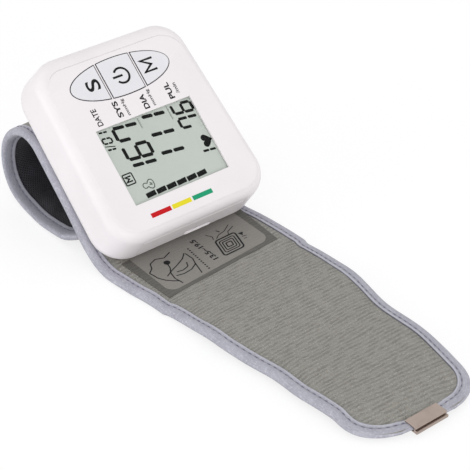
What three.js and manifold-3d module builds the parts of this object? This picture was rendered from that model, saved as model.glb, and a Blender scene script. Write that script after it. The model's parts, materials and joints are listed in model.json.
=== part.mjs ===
// A wrist blood pressure monitor lying open on a table: a tilted housing with a display and
// three keys, a preformed cuff that curls behind it, and a long soft strap with a steel end clip.
// Lengths are in millimetres. +X runs along the strap to its free end, +Y across it, +Z up.
// The origin lies on the table, under the middle of the front edge of the strap's printed panel.
import * as THREE from 'three';
import { mergeVertices } from 'three/addons/utils/BufferGeometryUtils.js';
import Module from 'manifold-3d';

const wasm = await Module();
wasm.setup();

// Fits that every piece follows
const clearance = 0.3; // gap between neighbouring pieces
const seating = 0.1; // gap under a piece that is fixed to its neighbour
const overrun = 1; // how far a cutter passes beyond what it cuts
const sides = 16; // facets round a small turned piece

// The housing, in its own frame: x towards the strap's free end, z from its back to its face
const housing = {
  length: 78.5,
  width: 69.2,
  height: 20.6,
  cornerRadius: 13,
  backRound: 6,
  faceRound: 3,
  draft: 0.9,
  wall: 2,
  faceWall: 1.6,
  parting: 4, // height of the joint between the two shells
  lipHeight: 1.6,
  lipInset: 2.9,
  lipWall: 1,
  tilt: THREE.MathUtils.degToRad(39.3),
  pastFoot: 1.35, // how far its lower end reaches past the foot of the cuff's slope
};
const cornerSteps = 6;
const roundSteps = 4;

// The printed face, the display under it and the keys through it
const face = { thickness: 0.8, margin: 3.9, cornerRadius: 9.5 };
const display = { fromFront: 14.2, fromRear: 32.4, sideMargin: 13.85 };
const glass = { thickness: 2.4, border: 2.3 };
const glassFrame = { thickness: 1.2, border: 1.6, legWidth: 1.4 };
const zebra = { width: 2.2, inset: 2.6, endInset: 3.05 };
const keys = {
  fromRear: 15.15, // from the housing's rear end to the middle of the keys
  fromSide: 12.3, // from the housing's side to the end of the ellipse that the three keys share
  halfShort: 7.8,
  powerHalf: 7.2,
  bridge: 1.3, // wall between two keys
  proud: 0.4,
  travel: 0.5,
  flange: 0.9,
  flangeThickness: 0.8,
};
const keySteps = 12;
const switches = { side: 4.5, height: 1.1, plunger: 2, plungerHeight: 0.4, sideKeyShare: 0.413 };

// The circuit board and what it carries. Shares say how far along the way from the pump to the
// battery bay a piece lies.
const board = { thickness: 1.2, seat: 13.4, bayGap: 0.7, margin: 1.2 };
const sensor = { side: 7.4, height: 3.4, alongShare: 0.534, fromSide: 17.6, port: 3, portHeight: 2.6 };
const buzzer = { diameter: 9, height: 3, alongShare: 0.757, fromSide: 12.6 };
const processor = { side: 8, height: 1.1, alongShare: 0.121, y: -2 };

// The air system: the pump lies along the housing's rear end, the valve beside it
const pump = {
  width: 13,
  height: 10.2,
  headLength: 11,
  fromRear: 12.75, // from the housing's end and side to the middle of the pump and its head's start
  fromSide: 28.6,
  nozzle: 3.4,
  nozzleLength: 3.5,
};
const motor = { width: 12, height: 10, length: 16 };
const valve = { diameter: 9, length: 14, alongShare: 0.25, fromSide: 21.1, plunger: 3, plungerLength: 2 };
const manifold = { width: 6, height: 5.4, length: 25, alongShare: 0.625, port: 3, portLength: 2.2 };
const hose = { diameter: 4.2, sides: 8, steps: 12, dropShare: 0.5 };
const nipple = { diameter: 4.4, bore: 2 };

// Two AAA cells lie across the housing, with room at both ends, behind a hinged cover in its
// front wall
const cell = { diameter: 10.5, sideRoom: 12.35, cap: 3.8, capHeight: 0.9, rise: 9.9, fromFront: 8.2 };
const bay = { endRoom: 2.2, wall: 0.8, partition: 1, top: 14.6 };
const contact = { thickness: 0.4, width: 8, height: 7.6 };
const spring = { wire: 0.6, turns: 3, wide: 3.2, narrow: 1.7, sides: 5, stepsPerTurn: 10 };
const cover = { fromSide: 10.7, top: 15.3, thickness: 1.7, rolled: 0.95 };
const thumb = { width: 12.5, depth: 0.9, height: 2.4, y: 5 };

// Bosses and screws that close the housing
const boss = {
  fromFront: 13.25, // from the housing's ends and sides to the bosses' middles
  frontFromSide: 6.7,
  fromRear: 9.25,
  rearFromSide: 8.2,
  radius: 2.2,
  shoulder: 3.1,
  pilot: 1.15,
};
const screw = { shank: 1.7, length: 9, head: 3.8, headHeight: 1.3 };

// The cuff: a soft sandwich round a curl of stiff sheet, from the table up behind the housing,
// over the top and back underneath. Its route is its lining side.
const cuff = {
  overhang: 0.9, // how far its edges lie outside the housing's sides
  foot: -29.9, // where the flat part and the slope would meet without their bend
  footRadius: 12,
  slopeThickness: 4.1,
  curlThickness: 5.2,
  slopeEnd: -66.9,
  curlRadius: 16,
  innerRadius: 13.5,
  innerStart: THREE.MathUtils.degToRad(250),
  tailRadius: 160,
  tailTurn: THREE.MathUtils.degToRad(13),
  endCorner: 13, // length over which the cuff's hidden end narrows
  endNarrow: 9,
};
const layers = {
  lining: 1.1,
  liningWeb: 0.3,
  fabric: 1.1,
  fabricWeb: 0.3,
  sheet: 0.65, // the stiff curl sheet
  sheetMargin: 7,
  bladderMargin: 6,
};
const binding = { flange: 4.5, thickness: 0.5, web: 0.9 };
const holder = { length: 44, width: 36, thickness: 1, cornerRadius: 4, alongShare: 0.89, screwInset: 6 };
const label = { front: 0, back: -21.5, sideMargin: 8.3, cornerRadius: 5, thickness: 0.25 };

// The strap: three links in a row, hinged across it, that stand for its bending
const strap = {
  thickness: 3.4,
  firstHinge: 8,
  linkLength: 34,
  tipLength: 34.9, // from the last hinge to the free end
  hingeGap: 0.4,
  roundLength: 17.9, // length over which the free end rounds off
  roundPower: 2.5,
  lining: 1.4,
  fabric: 1.5,
  web: 0.6,
};
const edgeSteps = 5;
const endSteps = 16;
const routeStep = THREE.MathUtils.degToRad(11);
const flatSteps = 3;
// How the strap narrows: places along its length, and its half width as a share of the cuff's
const alongShares = [0, 0.16, 0.27, 0.37, 0.5, 0.66, 0.83];
const widthShares = [0.992, 0.965, 0.934, 0.885, 0.838, 0.812, 0.747];
const hook = { afterHinge: 3.5, beforeClip: 3, halfWidth: 17, cornerRadius: 5, thickness: 0.7 };
const clip = { overlap: 4.9, beyond: 1.3, halfWidth: 7.2, height: 3.9, sheet: 0.5 };

const finishes = {
  whitePlastic: { color: '#f0eef1', roughness: 0.35, metalness: 0 },
  clearPlastic: { color: '#dfe4e0', roughness: 0.08, metalness: 0 },
  displayGlass: { color: '#c3cbc3', roughness: 0.2, metalness: 0 },
  keyPlastic: { color: '#e7e6ea', roughness: 0.45, metalness: 0 },
  greyPlastic: { color: '#55585c', roughness: 0.5, metalness: 0 },
  rubber: { color: '#2c2c2e', roughness: 0.8, metalness: 0 },
  board: { color: '#1f6b3c', roughness: 0.5, metalness: 0 },
  steel: { color: '#b9b6b2', roughness: 0.3, metalness: 1 },
  brass: { color: '#c9a85a', roughness: 0.35, metalness: 1 },
  cellJacket: { color: '#4b6d8c', roughness: 0.4, metalness: 0 },
  hose: { color: '#d8d6cf', roughness: 0.6, metalness: 0 },
  loopFabric: { color: '#93908a', roughness: 0.95, metalness: 0 },
  liningMesh: { color: '#1d1c20', roughness: 0.9, metalness: 0 },
  bindingTape: { color: '#a6a6b8', roughness: 0.8, metalness: 0 },
  sheetPlastic: { color: '#d9d9d6', roughness: 0.5, metalness: 0 },
  labelPrint: { color: '#8a8a84', roughness: 0.7, metalness: 0 },
};

// Tools for closed shapes

function closed(positions, triangles) {
  const geometry = new THREE.BufferGeometry();
  const numbers = positions.flatMap((p) => [p.x, p.y, p.z]);
  geometry.setAttribute('position', new THREE.Float32BufferAttribute(numbers, 3));
  let volume = 0;
  for (const [a, b, c] of triangles) {
    volume += positions[a].dot(new THREE.Vector3().crossVectors(positions[b], positions[c]));
  }
  const outward = volume < 0 ? triangles.map(([a, b, c]) => [a, c, b]) : triangles;
  geometry.setIndex(outward.flat());
  return geometry;
}

// A skin over sections that have the same points in the same order, with both ends closed
function skin(sections, flatSection) {
  const count = flatSection.length;
  const triangles = [];
  for (let level = 0; level + 1 < sections.length; level += 1) {
    for (let k = 0; k < count; k += 1) {
      const next = (k + 1) % count;
      const a = level * count + k;
      const b = level * count + next;
      triangles.push([a, b, b + count], [a, b + count, a + count]);
    }
  }
  const last = (sections.length - 1) * count;
  const clockwise = THREE.ShapeUtils.isClockWise(flatSection);
  for (const cap of THREE.ShapeUtils.triangulateShape(flatSection, [])) {
    const [a, b, c] = clockwise ? cap.reverse() : cap;
    triangles.push([c, b, a], [last + a, last + b, last + c]);
  }
  return closed(sections.flat(), triangles);
}

function solid(geometry) {
  const bare = geometry.index ? geometry.clone() : geometry;
  bare.deleteAttribute('normal');
  bare.deleteAttribute('uv');
  const merged = mergeVertices(bare);
  return new wasm.Manifold(
    new wasm.Mesh({
      numProp: 3,
      vertProperties: new Float32Array(merged.attributes.position.array),
      triVerts: new Uint32Array(merged.index.array),
    }),
  );
}

function surface(body) {
  const mesh = body.getMesh();
  const geometry = new THREE.BufferGeometry();
  geometry.setAttribute('position', new THREE.BufferAttribute(new Float32Array(mesh.vertProperties), 3));
  geometry.setIndex(new THREE.BufferAttribute(new Uint32Array(mesh.triVerts), 1));
  return geometry;
}

function piece(name, shape, finish) {
  const geometry = shape.isBufferGeometry ? shape : surface(shape);
  geometry.computeVertexNormals();
  const mesh = new THREE.Mesh(geometry, new THREE.MeshStandardMaterial(finishes[finish]));
  mesh.name = name;
  return mesh;
}

function prism(outline, bottom, top) {
  const shape = new THREE.Shape(outline);
  const geometry = new THREE.ExtrudeGeometry(shape, { depth: top - bottom, bevelEnabled: false });
  return solid(geometry.translate(0, 0, bottom));
}

function block(x, y, z) {
  const geometry = new THREE.BoxGeometry(x[1] - x[0], y[1] - y[0], z[1] - z[0]);
  return solid(geometry.translate((x[0] + x[1]) / 2, (y[0] + y[1]) / 2, (z[0] + z[1]) / 2));
}

// The section of a hose or wire
function roundSection(radius, count) {
  const points = [];
  for (let k = 0; k < count; k += 1) {
    const angle = (2 * Math.PI * k) / count;
    points.push(new THREE.Vector2(radius * Math.cos(angle), radius * Math.sin(angle)));
  }
  return new THREE.Shape(points);
}

// A round bar from bottom to top at a place in the housing's plan
function post(radius, bottom, top, x, y) {
  const geometry = new THREE.CylinderGeometry(radius, radius, top - bottom, sides);
  geometry.rotateX(Math.PI / 2);
  return solid(geometry.translate(x, y, (bottom + top) / 2));
}

// A round bar that lies across the housing
function crossBar(radius, from, to, x, z) {
  const geometry = new THREE.CylinderGeometry(radius, radius, to - from, sides);
  return solid(geometry.translate(x, (from + to) / 2, z));
}

function roundedOutline(halfX, halfY, radius, middleX = 0) {
  const outline = [];
  const corners = [
    [1, 1],
    [-1, 1],
    [-1, -1],
    [1, -1],
  ];
  corners.forEach(([signX, signY], quarter) => {
    for (let k = 0; k <= cornerSteps; k += 1) {
      const angle = ((quarter + k / cornerSteps) * Math.PI) / 2;
      const x = middleX + signX * (halfX - radius) + radius * Math.cos(angle);
      outline.push(new THREE.Vector2(x, signY * (halfY - radius) + radius * Math.sin(angle)));
    }
  });
  return outline;
}

// The housing's outer form, drawn in by an offset: a drafted wall with a round at back and face
function caseForm(offset) {
  const levels = [];
  const backRound = housing.backRound - offset;
  const faceRound = Math.max(housing.faceRound - offset, offset / 2);
  const low = offset;
  const high = housing.height - offset;
  for (let k = 0; k <= roundSteps; k += 1) {
    const angle = ((k / roundSteps) * Math.PI) / 2;
    const inset = backRound * (1 - Math.sin(angle));
    levels.push([inset, low + backRound * (1 - Math.cos(angle))]);
  }
  for (let k = 0; k <= roundSteps; k += 1) {
    const angle = ((k / roundSteps) * Math.PI) / 2;
    const inset = housing.draft + faceRound * (1 - Math.cos(angle));
    levels.push([inset, high - faceRound * (1 - Math.sin(angle))]);
  }
  const outlines = levels.map(([inset]) => {
    return wallOutline(inset + offset);
  });
  const rings = outlines.map((outline, k) => outline.map((p) => new THREE.Vector3(p.x, p.y, levels[k][1])));
  return solid(skin(rings, outlines[0]));
}

// The housing's outline, drawn in by an inset
function wallOutline(inset) {
  const halfX = housing.length / 2 - inset;
  return roundedOutline(halfX, housing.width / 2 - inset, housing.cornerRadius - inset);
}

const halfHousing = { x: housing.length / 2, y: housing.width / 2 };
const halfLongKeys = halfHousing.y - keys.fromSide;
const keysMiddle = keys.fromRear - halfHousing.x;

// A place on the outline of the three keys' shared ellipse, between two distances from the middle
function keyOutline(from, to, grow) {
  const halfLong = halfLongKeys + grow;
  const halfShort = keys.halfShort + grow;
  const near = Math.max(from - grow, -halfLong);
  const far = Math.min(to + grow, halfLong);
  const outline = [];
  const reach = (y) => halfShort * Math.sqrt(Math.max(0, 1 - (y / halfLong) ** 2));
  const angles = [Math.asin(near / halfLong), Math.asin(far / halfLong)];
  for (let k = 0; k <= keySteps; k += 1) {
    const y = halfLong * Math.sin(angles[0] + ((angles[1] - angles[0]) * k) / keySteps);
    outline.push(new THREE.Vector2(keysMiddle + reach(y), y));
  }
  for (let k = keySteps; k >= 0; k -= 1) {
    const y = halfLong * Math.sin(angles[0] + ((angles[1] - angles[0]) * k) / keySteps);
    if (reach(y) > seating) outline.push(new THREE.Vector2(keysMiddle - reach(y), y));
  }
  return outline;
}

const sideKeyStart = keys.powerHalf + keys.bridge;
const sideKeyY = THREE.MathUtils.lerp(sideKeyStart, halfLongKeys, switches.sideKeyShare);
const keyPlaces = [
  { name: 'set', from: -halfLongKeys, to: -sideKeyStart, switchY: -sideKeyY },
  { name: 'power', from: -keys.powerHalf, to: keys.powerHalf, switchY: 0 },
  { name: 'memory', from: sideKeyStart, to: halfLongKeys, switchY: sideKeyY },
];

// Heights and places in the housing that several pieces share
const faceSeat = housing.height - face.thickness - clearance;
const ceiling = faceSeat - housing.faceWall;
const glassBottom = faceSeat - glass.thickness;
const boardTop = board.seat + board.thickness;
const flangeTop = ceiling - clearance;
const bossFront = [halfHousing.x - boss.fromFront, halfHousing.y - boss.frontFromSide];
const bossRear = [boss.fromRear - halfHousing.x, halfHousing.y - boss.rearFromSide];
const bossPlaces = [bossFront, bossRear, [bossRear[0], -bossRear[1]], [bossFront[0], -bossFront[1]]];
const displayMiddle = (display.fromRear - display.fromFront) / 2;
const displayHalf = [halfHousing.x - display.fromFront - displayMiddle, halfHousing.y - display.sideMargin];
const glassHalf = displayHalf.map((half) => half + glass.border);
const sensorY = sensor.fromSide - halfHousing.y;
const frontCellX = halfHousing.x - cell.fromFront;
const cellX = [frontCellX, frontCellX - cell.diameter - clearance];
const cellHalf = halfHousing.y - cell.sideRoom;
const bayHalf = cellHalf + bay.endRoom;
const bayBack = cellX[1] - cell.diameter / 2 - clearance;
const holderPlate = { top: -clearance, bottom: -clearance - holder.thickness };
const nippleBottom = -2 * clearance - layers.fabric - layers.sheet;
const holderScrews = [holder.width / 2 - holder.screwInset, holder.screwInset - holder.width / 2];
const bayFront = bayBack - bay.partition;
const pumpX = pump.fromRear - halfHousing.x;
const placeAlong = (share) => THREE.MathUtils.lerp(pumpX + pump.width / 2, bayFront, share);
const manifoldX = placeAlong(manifold.alongShare);
const holderScrewX = placeAlong(holder.alongShare);

function rectangle(halfX, halfY, middleX) {
  return [
    new THREE.Vector2(middleX - halfX, -halfY),
    new THREE.Vector2(middleX + halfX, -halfY),
    new THREE.Vector2(middleX + halfX, halfY),
    new THREE.Vector2(middleX - halfX, halfY),
  ];
}

const faceOutline = (grow) =>
  roundedOutline(
    housing.length / 2 - face.margin + grow,
    housing.width / 2 - face.margin + grow,
    face.cornerRadius + grow,
  );

// The battery cover turns about the middle of its rolled top edge
const coverBack = halfHousing.x - cover.thickness - housing.draft;
const coverHalf = halfHousing.y - cover.fromSide;
const coverHinge = { x: coverBack + cover.rolled, z: cover.top - cover.rolled };

// The room that the battery cover fills in the front wall
function coverRoom(grow) {
  return block(
    [coverBack - grow, housing.length / 2 + overrun],
    [-coverHalf - grow, coverHalf + grow],
    [housing.parting + clearance - grow, cover.top + grow],
  );
}

function makeFrontShell() {
  const below = block(
    [-housing.length, housing.length],
    [-housing.width, housing.width],
    [-overrun, housing.parting],
  );
  let shell = caseForm(0).subtract(below);
  const hollow = caseForm(housing.wall).subtract(
    block([-housing.length, housing.length], [-housing.width, housing.width], [ceiling, housing.height]),
  );
  shell = shell.subtract(hollow);
  shell = shell.subtract(prism(faceOutline(clearance), faceSeat, housing.height + overrun));
  const opening = rectangle(glassHalf[0] + clearance, glassHalf[1] + clearance, displayMiddle);
  shell = shell.subtract(prism(opening, ceiling - overrun, housing.height));
  for (const key of keyPlaces) {
    shell = shell.subtract(prism(keyOutline(key.from, key.to, clearance), ceiling - overrun, housing.height));
  }
  for (const [x, y] of bossPlaces) {
    shell = shell.add(post(boss.shoulder, boardTop + clearance, ceiling + housing.faceWall / 2, x, y));
    shell = shell.add(post(boss.radius, housing.wall + 2 * clearance, boardTop + overrun, x, y));
  }
  for (const [x, y] of bossPlaces) {
    shell = shell.subtract(post(boss.pilot, -overrun, ceiling, x, y));
  }
  return piece('front_shell', shell.subtract(coverRoom(clearance)), 'whitePlastic');
}

function makeBackShell() {
  const above = block(
    [-housing.length, housing.length],
    [-housing.width, housing.width],
    [housing.parting - clearance, housing.height + overrun],
  );
  let shell = caseForm(0).subtract(above).subtract(caseForm(housing.wall));
  const lipTop = housing.parting + housing.lipHeight;
  let lip = prism(wallOutline(housing.lipInset), housing.wall / 2, lipTop);
  lip = lip.subtract(prism(wallOutline(housing.lipInset + housing.lipWall), 0, lipTop + overrun));
  shell = shell.add(lip);
  const door = block(
    [housing.length / 2 - housing.lipInset - housing.lipWall - clearance, housing.length],
    [-coverHalf - clearance, coverHalf + clearance],
    [housing.parting - clearance, housing.height],
  );
  shell = shell.subtract(door);
  // The battery bay's partition and end walls stand on the floor
  const partition = [bayFront, bayBack];
  const bayWalls = block(partition, [-bayHalf - bay.wall, bayHalf + bay.wall], [housing.wall / 2, bay.top]);
  shell = shell.add(bayWalls);
  for (const side of [-1, 1]) {
    const ends = side < 0 ? [-bayHalf - bay.wall, -bayHalf] : [bayHalf, bayHalf + bay.wall];
    shell = shell.add(block([bayFront, cellX[0]], ends, [housing.wall / 2, bay.top]));
  }
  for (const [x, y] of bossPlaces) {
    shell = shell.subtract(post(screw.shank / 2 + clearance, -overrun, housing.height, x, y));
    shell = shell.subtract(post(screw.head / 2 + clearance, -overrun, screw.headHeight, x, y));
  }
  for (const y of holderScrews) {
    shell = shell.subtract(post(screw.shank / 2 + clearance, -overrun, housing.parting, holderScrewX, y));
  }
  shell = shell.subtract(post(nipple.diameter / 2 + clearance, -overrun, housing.parting, manifoldX, 0));
  return piece('back_shell', shell, 'whitePlastic');
}

function makeFace() {
  let sheet = prism(faceOutline(0), housing.height - face.thickness, housing.height);
  const low = housing.height - face.thickness - overrun;
  const high = housing.height + overrun;
  const pane = rectangle(displayHalf[0] + clearance, displayHalf[1] + clearance, displayMiddle);
  sheet = sheet.subtract(prism(pane, low, high));
  for (const key of keyPlaces) {
    sheet = sheet.subtract(prism(keyOutline(key.from, key.to, clearance), low, high));
  }
  const windowPane = prism(
    rectangle(displayHalf[0], displayHalf[1], displayMiddle),
    housing.height - face.thickness,
    housing.height,
  );
  return [piece('face_overlay', sheet, 'whitePlastic'), piece('display_window', windowPane, 'clearPlastic')];
}

function makeDisplay() {
  const pane = prism(rectangle(glassHalf[0], glassHalf[1], displayMiddle), glassBottom, faceSeat);
  const frameTop = glassBottom - clearance;
  const frameBottom = frameTop - glassFrame.thickness;
  const half = [glassHalf[0] + glassFrame.border / 2, glassHalf[1] + glassFrame.border / 2];
  let frame = prism(rectangle(half[0], half[1], displayMiddle), frameBottom, frameTop);
  const inner = rectangle(glassHalf[0] - glassFrame.border, glassHalf[1] - glassFrame.border, displayMiddle);
  frame = frame.subtract(prism(inner, frameBottom - overrun, frameTop + overrun));
  // Legs at the frame's key end stand on the circuit board
  const legX = [displayMiddle - half[0], displayMiddle - half[0] + glassFrame.legWidth];
  for (const side of [-1, 1]) {
    const outer = side * half[1];
    const legY = [outer, outer - side * glassFrame.legWidth].sort((a, b) => a - b);
    frame = frame.add(block(legX, legY, [boardTop + clearance, frameTop]));
  }
  const zebraX = displayMiddle - glassHalf[0] + zebra.inset;
  const zebraHalf = glassHalf[1] - zebra.endInset;
  const strip = block(
    [zebraX, zebraX + zebra.width],
    [-zebraHalf, zebraHalf],
    [boardTop + clearance, glassBottom - clearance],
  );
  return [
    piece('lcd_glass', pane, 'displayGlass'),
    piece('lcd_frame', frame, 'greyPlastic'),
    piece('zebra_connector', strip, 'rubber'),
  ];
}

function makeKeys() {
  return keyPlaces.flatMap(({ name, from, to, switchY }) => {
    const stemBottom = boardTop + switches.height + switches.plungerHeight + keys.travel + seating;
    let key = prism(keyOutline(from, to, 0), flangeTop - keys.flangeThickness, housing.height + keys.proud);
    const flangeOut = Math.min(keys.flange, keys.bridge / 2 - clearance / 2);
    const flange = keyOutline(from, to, flangeOut);
    key = key.add(prism(flange, flangeTop - keys.flangeThickness, flangeTop));
    key = key.add(post(switches.plunger / 2, stemBottom, flangeTop, keysMiddle, switchY));
    const half = switches.side / 2;
    const base = boardTop + seating;
    let body = block(
      [keysMiddle - half, keysMiddle + half],
      [switchY - half, switchY + half],
      [base, boardTop + switches.height],
    );
    const top = boardTop + switches.height + switches.plungerHeight;
    body = body.add(post(switches.plunger / 2, base, top, keysMiddle, switchY));
    return [piece(`key_${name}`, key, 'keyPlastic'), piece(`switch_${name}`, body, 'greyPlastic')];
  });
}

function makeBoard() {
  const back = -housing.length / 2 + housing.wall + housing.draft + board.margin;
  const halfWidth = housing.width / 2 - housing.wall - housing.draft - board.margin;
  const front = bayFront - board.bayGap;
  const middle = (back + front) / 2;
  const halfLength = (front - back) / 2;
  const outline = roundedOutline(halfLength, halfWidth, housing.cornerRadius - housing.wall, middle);
  let sheet = prism(outline, board.seat, boardTop);
  for (const [x, y] of bossPlaces) {
    sheet = sheet.subtract(post(boss.radius + clearance, board.seat - overrun, boardTop + overrun, x, y));
  }
  const chipHalf = processor.side / 2;
  const chipX = placeAlong(processor.alongShare);
  const chip = block(
    [chipX - chipHalf, chipX + chipHalf],
    [processor.y - chipHalf, processor.y + chipHalf],
    [boardTop + seating, boardTop + processor.height],
  );
  const sensorHalf = sensor.side / 2;
  const sensorX = placeAlong(sensor.alongShare);
  const sounderY = halfHousing.y - buzzer.fromSide;
  const sensorTop = board.seat - seating;
  const sensorBottom = sensorTop - sensor.height;
  let gauge = block(
    [sensorX - sensorHalf, sensorX + sensorHalf],
    [sensorY - sensorHalf, sensorY + sensorHalf],
    [sensorBottom, sensorTop],
  );
  gauge = gauge.add(post(sensor.port / 2, sensorBottom - sensor.portHeight, sensorTop, sensorX, sensorY));
  const sounderTop = board.seat - seating;
  const sounderX = placeAlong(buzzer.alongShare);
  const sounder = post(buzzer.diameter / 2, sounderTop - buzzer.height, sounderTop, sounderX, sounderY);
  return [
    piece('circuit_board', sheet, 'board'),
    piece('processor_chip', chip, 'rubber'),
    piece('pressure_sensor', gauge, 'greyPlastic'),
    piece('buzzer', sounder, 'rubber'),
  ];
}

function makeAirSystem() {
  const floor = housing.wall + clearance;
  const valveX = placeAlong(valve.alongShare);
  const valveY = halfHousing.y - valve.fromSide;
  const sensorX = placeAlong(sensor.alongShare);
  const headStart = halfHousing.y - pump.fromSide;
  const headY = [headStart, headStart + pump.headLength];
  let head = block([pumpX - pump.width / 2, pumpX + pump.width / 2], headY, [floor, floor + pump.height]);
  const nozzleZ = floor + pump.height / 2;
  const nozzleEnd = headY[1] + pump.nozzleLength;
  head = head.add(crossBar(pump.nozzle / 2, headY[1] - overrun, nozzleEnd, pumpX, nozzleZ));
  // The motor is a can with two flat sides
  const canY = [headStart - clearance - motor.length, headStart - clearance];
  const can = crossBar(motor.width / 2, canY[0], canY[1], pumpX, nozzleZ);
  const flats = block(
    [pumpX - motor.width / 2, pumpX + motor.width / 2],
    [canY[0] - overrun, headStart],
    [nozzleZ - motor.height / 2, nozzleZ + motor.height / 2],
  );
  const valveZ = floor + valve.diameter / 2;
  const valveEnds = [valveY - valve.length / 2, valveY + valve.length / 2];
  const plungerEnd = valveEnds[1] + valve.plungerLength;
  let release = crossBar(valve.diameter / 2, valveEnds[0], valveEnds[1], valveX, valveZ);
  release = release.add(crossBar(valve.plunger / 2, valveY, plungerEnd, valveX, valveZ));
  const halfLength = manifold.length / 2;
  const top = floor + manifold.height;
  const sensorPortBottom = board.seat - seating - sensor.height - sensor.portHeight;
  let tee = block(
    [manifoldX - manifold.width / 2, manifoldX + manifold.width / 2],
    [-halfLength, halfLength],
    [floor, top],
  );
  const portZ = floor + manifold.height / 2;
  const portEnd = halfLength + manifold.portLength;
  tee = tee.add(crossBar(manifold.port / 2, 0, portEnd, manifoldX, portZ));
  // An arm of the tee reaches under the sensor's port
  tee = tee.add(
    block(
      [Math.min(sensorX, manifoldX) - sensor.port / 2, manifoldX],
      [sensorY - sensor.port / 2, sensorY + sensor.port / 2],
      [floor, sensorPortBottom - clearance],
    ),
  );
  tee = tee.add(
    block(
      [manifoldX - manifold.width / 2, manifoldX],
      [sensorY - sensor.port / 2, 0],
      [floor, sensorPortBottom - clearance],
    ),
  );
  // The hose runs from the pump's nozzle, round behind the valve, to the tee's port
  const start = new THREE.Vector3(pumpX, nozzleEnd + clearance, nozzleZ);
  const finish = new THREE.Vector3(manifoldX, portEnd + clearance, portZ);
  const crossing = plungerEnd + hose.diameter / 2 + 3 * clearance;
  const routeLine = new THREE.CatmullRomCurve3([
    start,
    new THREE.Vector3(start.x, start.y + hose.diameter / 4, nozzleZ),
    new THREE.Vector3(valveX, crossing, THREE.MathUtils.lerp(nozzleZ, portZ, hose.dropShare)),
    new THREE.Vector3(finish.x, finish.y + hose.diameter / 2, portZ),
    finish,
  ]);
  const tube = new THREE.ExtrudeGeometry(roundSection(hose.diameter / 2, hose.sides), {
    steps: hose.steps,
    extrudePath: routeLine,
  });
  // The nipple goes down through the holder plate and the curl sheet to the bladder
  let stem = post(nipple.diameter / 2, nippleBottom, floor - clearance, manifoldX, 0);
  stem = stem.subtract(post(nipple.bore / 2, nippleBottom - overrun, floor, manifoldX, 0));
  return [
    piece('pump_head', head, 'greyPlastic'),
    piece('pump_motor', can.intersect(flats), 'steel'),
    piece('exhaust_valve', release, 'steel'),
    piece('air_manifold', tee, 'greyPlastic'),
    piece('air_hose', solid(tube), 'hose'),
    piece('air_nipple', stem, 'greyPlastic'),
  ];
}

const holderOutline = (grow) =>
  roundedOutline(holder.length / 2 + grow, holder.width / 2 + grow, holder.cornerRadius + grow);

// The plate that carries the cuff, and the two screws that hold it from inside the housing
function makeHolder() {
  let plate = prism(holderOutline(0), holderPlate.bottom, holderPlate.top);
  const low = holderPlate.bottom - overrun;
  plate = plate.subtract(post(nipple.diameter / 2 + clearance, low, overrun, manifoldX, 0));
  const fixings = holderScrews.map((y, index) => {
    plate = plate.subtract(post(screw.shank / 2 + clearance / 2, low, overrun, holderScrewX, y));
    const seat = housing.wall + seating;
    const headTop = seat + screw.headHeight;
    let fixing = post(screw.head / 2, seat, headTop, holderScrewX, y);
    fixing = fixing.add(post(screw.shank / 2, holderPlate.bottom, headTop, holderScrewX, y));
    return piece(`holder_screw_${index + 1}`, fixing, 'steel');
  });
  return [piece('cuff_holder', plate, 'greyPlastic'), ...fixings];
}

function makeCells() {
  return cellX.flatMap((x, index) => {
    const turned = index === 0 ? 1 : -1;
    const bodyEnd = cellHalf - cell.capHeight;
    const jacket = turned > 0 ? [-cellHalf, bodyEnd] : [-bodyEnd, cellHalf];
    const capSpan = turned > 0 ? [0, cellHalf] : [-cellHalf, 0];
    let battery = crossBar(cell.diameter / 2, jacket[0], jacket[1], x, cell.rise);
    battery = battery.add(crossBar(cell.cap / 2, capSpan[0], capSpan[1], x, cell.rise));
    const plateY = [bayHalf - seating - contact.thickness, bayHalf - seating];
    const plateSpan = turned > 0 ? plateY : [-plateY[1], -plateY[0]];
    const plate = block(
      [x - contact.width / 2, x + contact.width / 2],
      plateSpan,
      [cell.rise - contact.height / 2, cell.rise + contact.height / 2],
    );
    // The spring is one conical wire between the cell's flat end and the bay's wall
    const room = bay.endRoom - 2 * clearance - spring.wire;
    const wallY = -turned * (bayHalf - clearance - spring.wire / 2);
    const points = [];
    const count = spring.turns * spring.stepsPerTurn;
    for (let k = 0; k <= count; k += 1) {
      const share = k / count;
      const angle = share * spring.turns * Math.PI * 2;
      const radius = THREE.MathUtils.lerp(spring.wide, spring.narrow, share);
      const y = wallY + turned * room * share;
      points.push(new THREE.Vector3(x + radius * Math.cos(angle), y, cell.rise + radius * Math.sin(angle)));
    }
    const coil = new THREE.ExtrudeGeometry(roundSection(spring.wire / 2, spring.sides), {
      steps: count,
      extrudePath: new THREE.CatmullRomCurve3(points),
    });
    return [
      piece(`battery_${index + 1}`, battery, 'cellJacket'),
      piece(`battery_contact_${index + 1}`, plate, 'brass'),
      piece(`battery_spring_${index + 1}`, solid(coil), 'steel'),
    ];
  });
}

function makeCover() {
  let door = caseForm(0).intersect(coverRoom(0));
  // The top edge is rolled about the hinge line, so that it turns clear of the wall
  const front = housing.length / 2 + overrun;
  const edgeCut = block(
    [coverBack - overrun, front],
    [-coverHalf - overrun, coverHalf + overrun],
    [coverHinge.z, cover.top + overrun],
  );
  const rolled = crossBar(cover.rolled, -coverHalf, coverHalf, coverHinge.x, coverHinge.z);
  door = door.subtract(edgeCut.subtract(rolled));
  // A thumb notch undercuts the lower edge
  const low = housing.parting + clearance;
  const notch = block(
    [housing.length / 2 - thumb.depth, front],
    [thumb.y - thumb.width / 2, thumb.y + thumb.width / 2],
    [low - overrun, low + thumb.height],
  );
  return piece('battery_cover', door.subtract(notch), 'whitePlastic');
}

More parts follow.
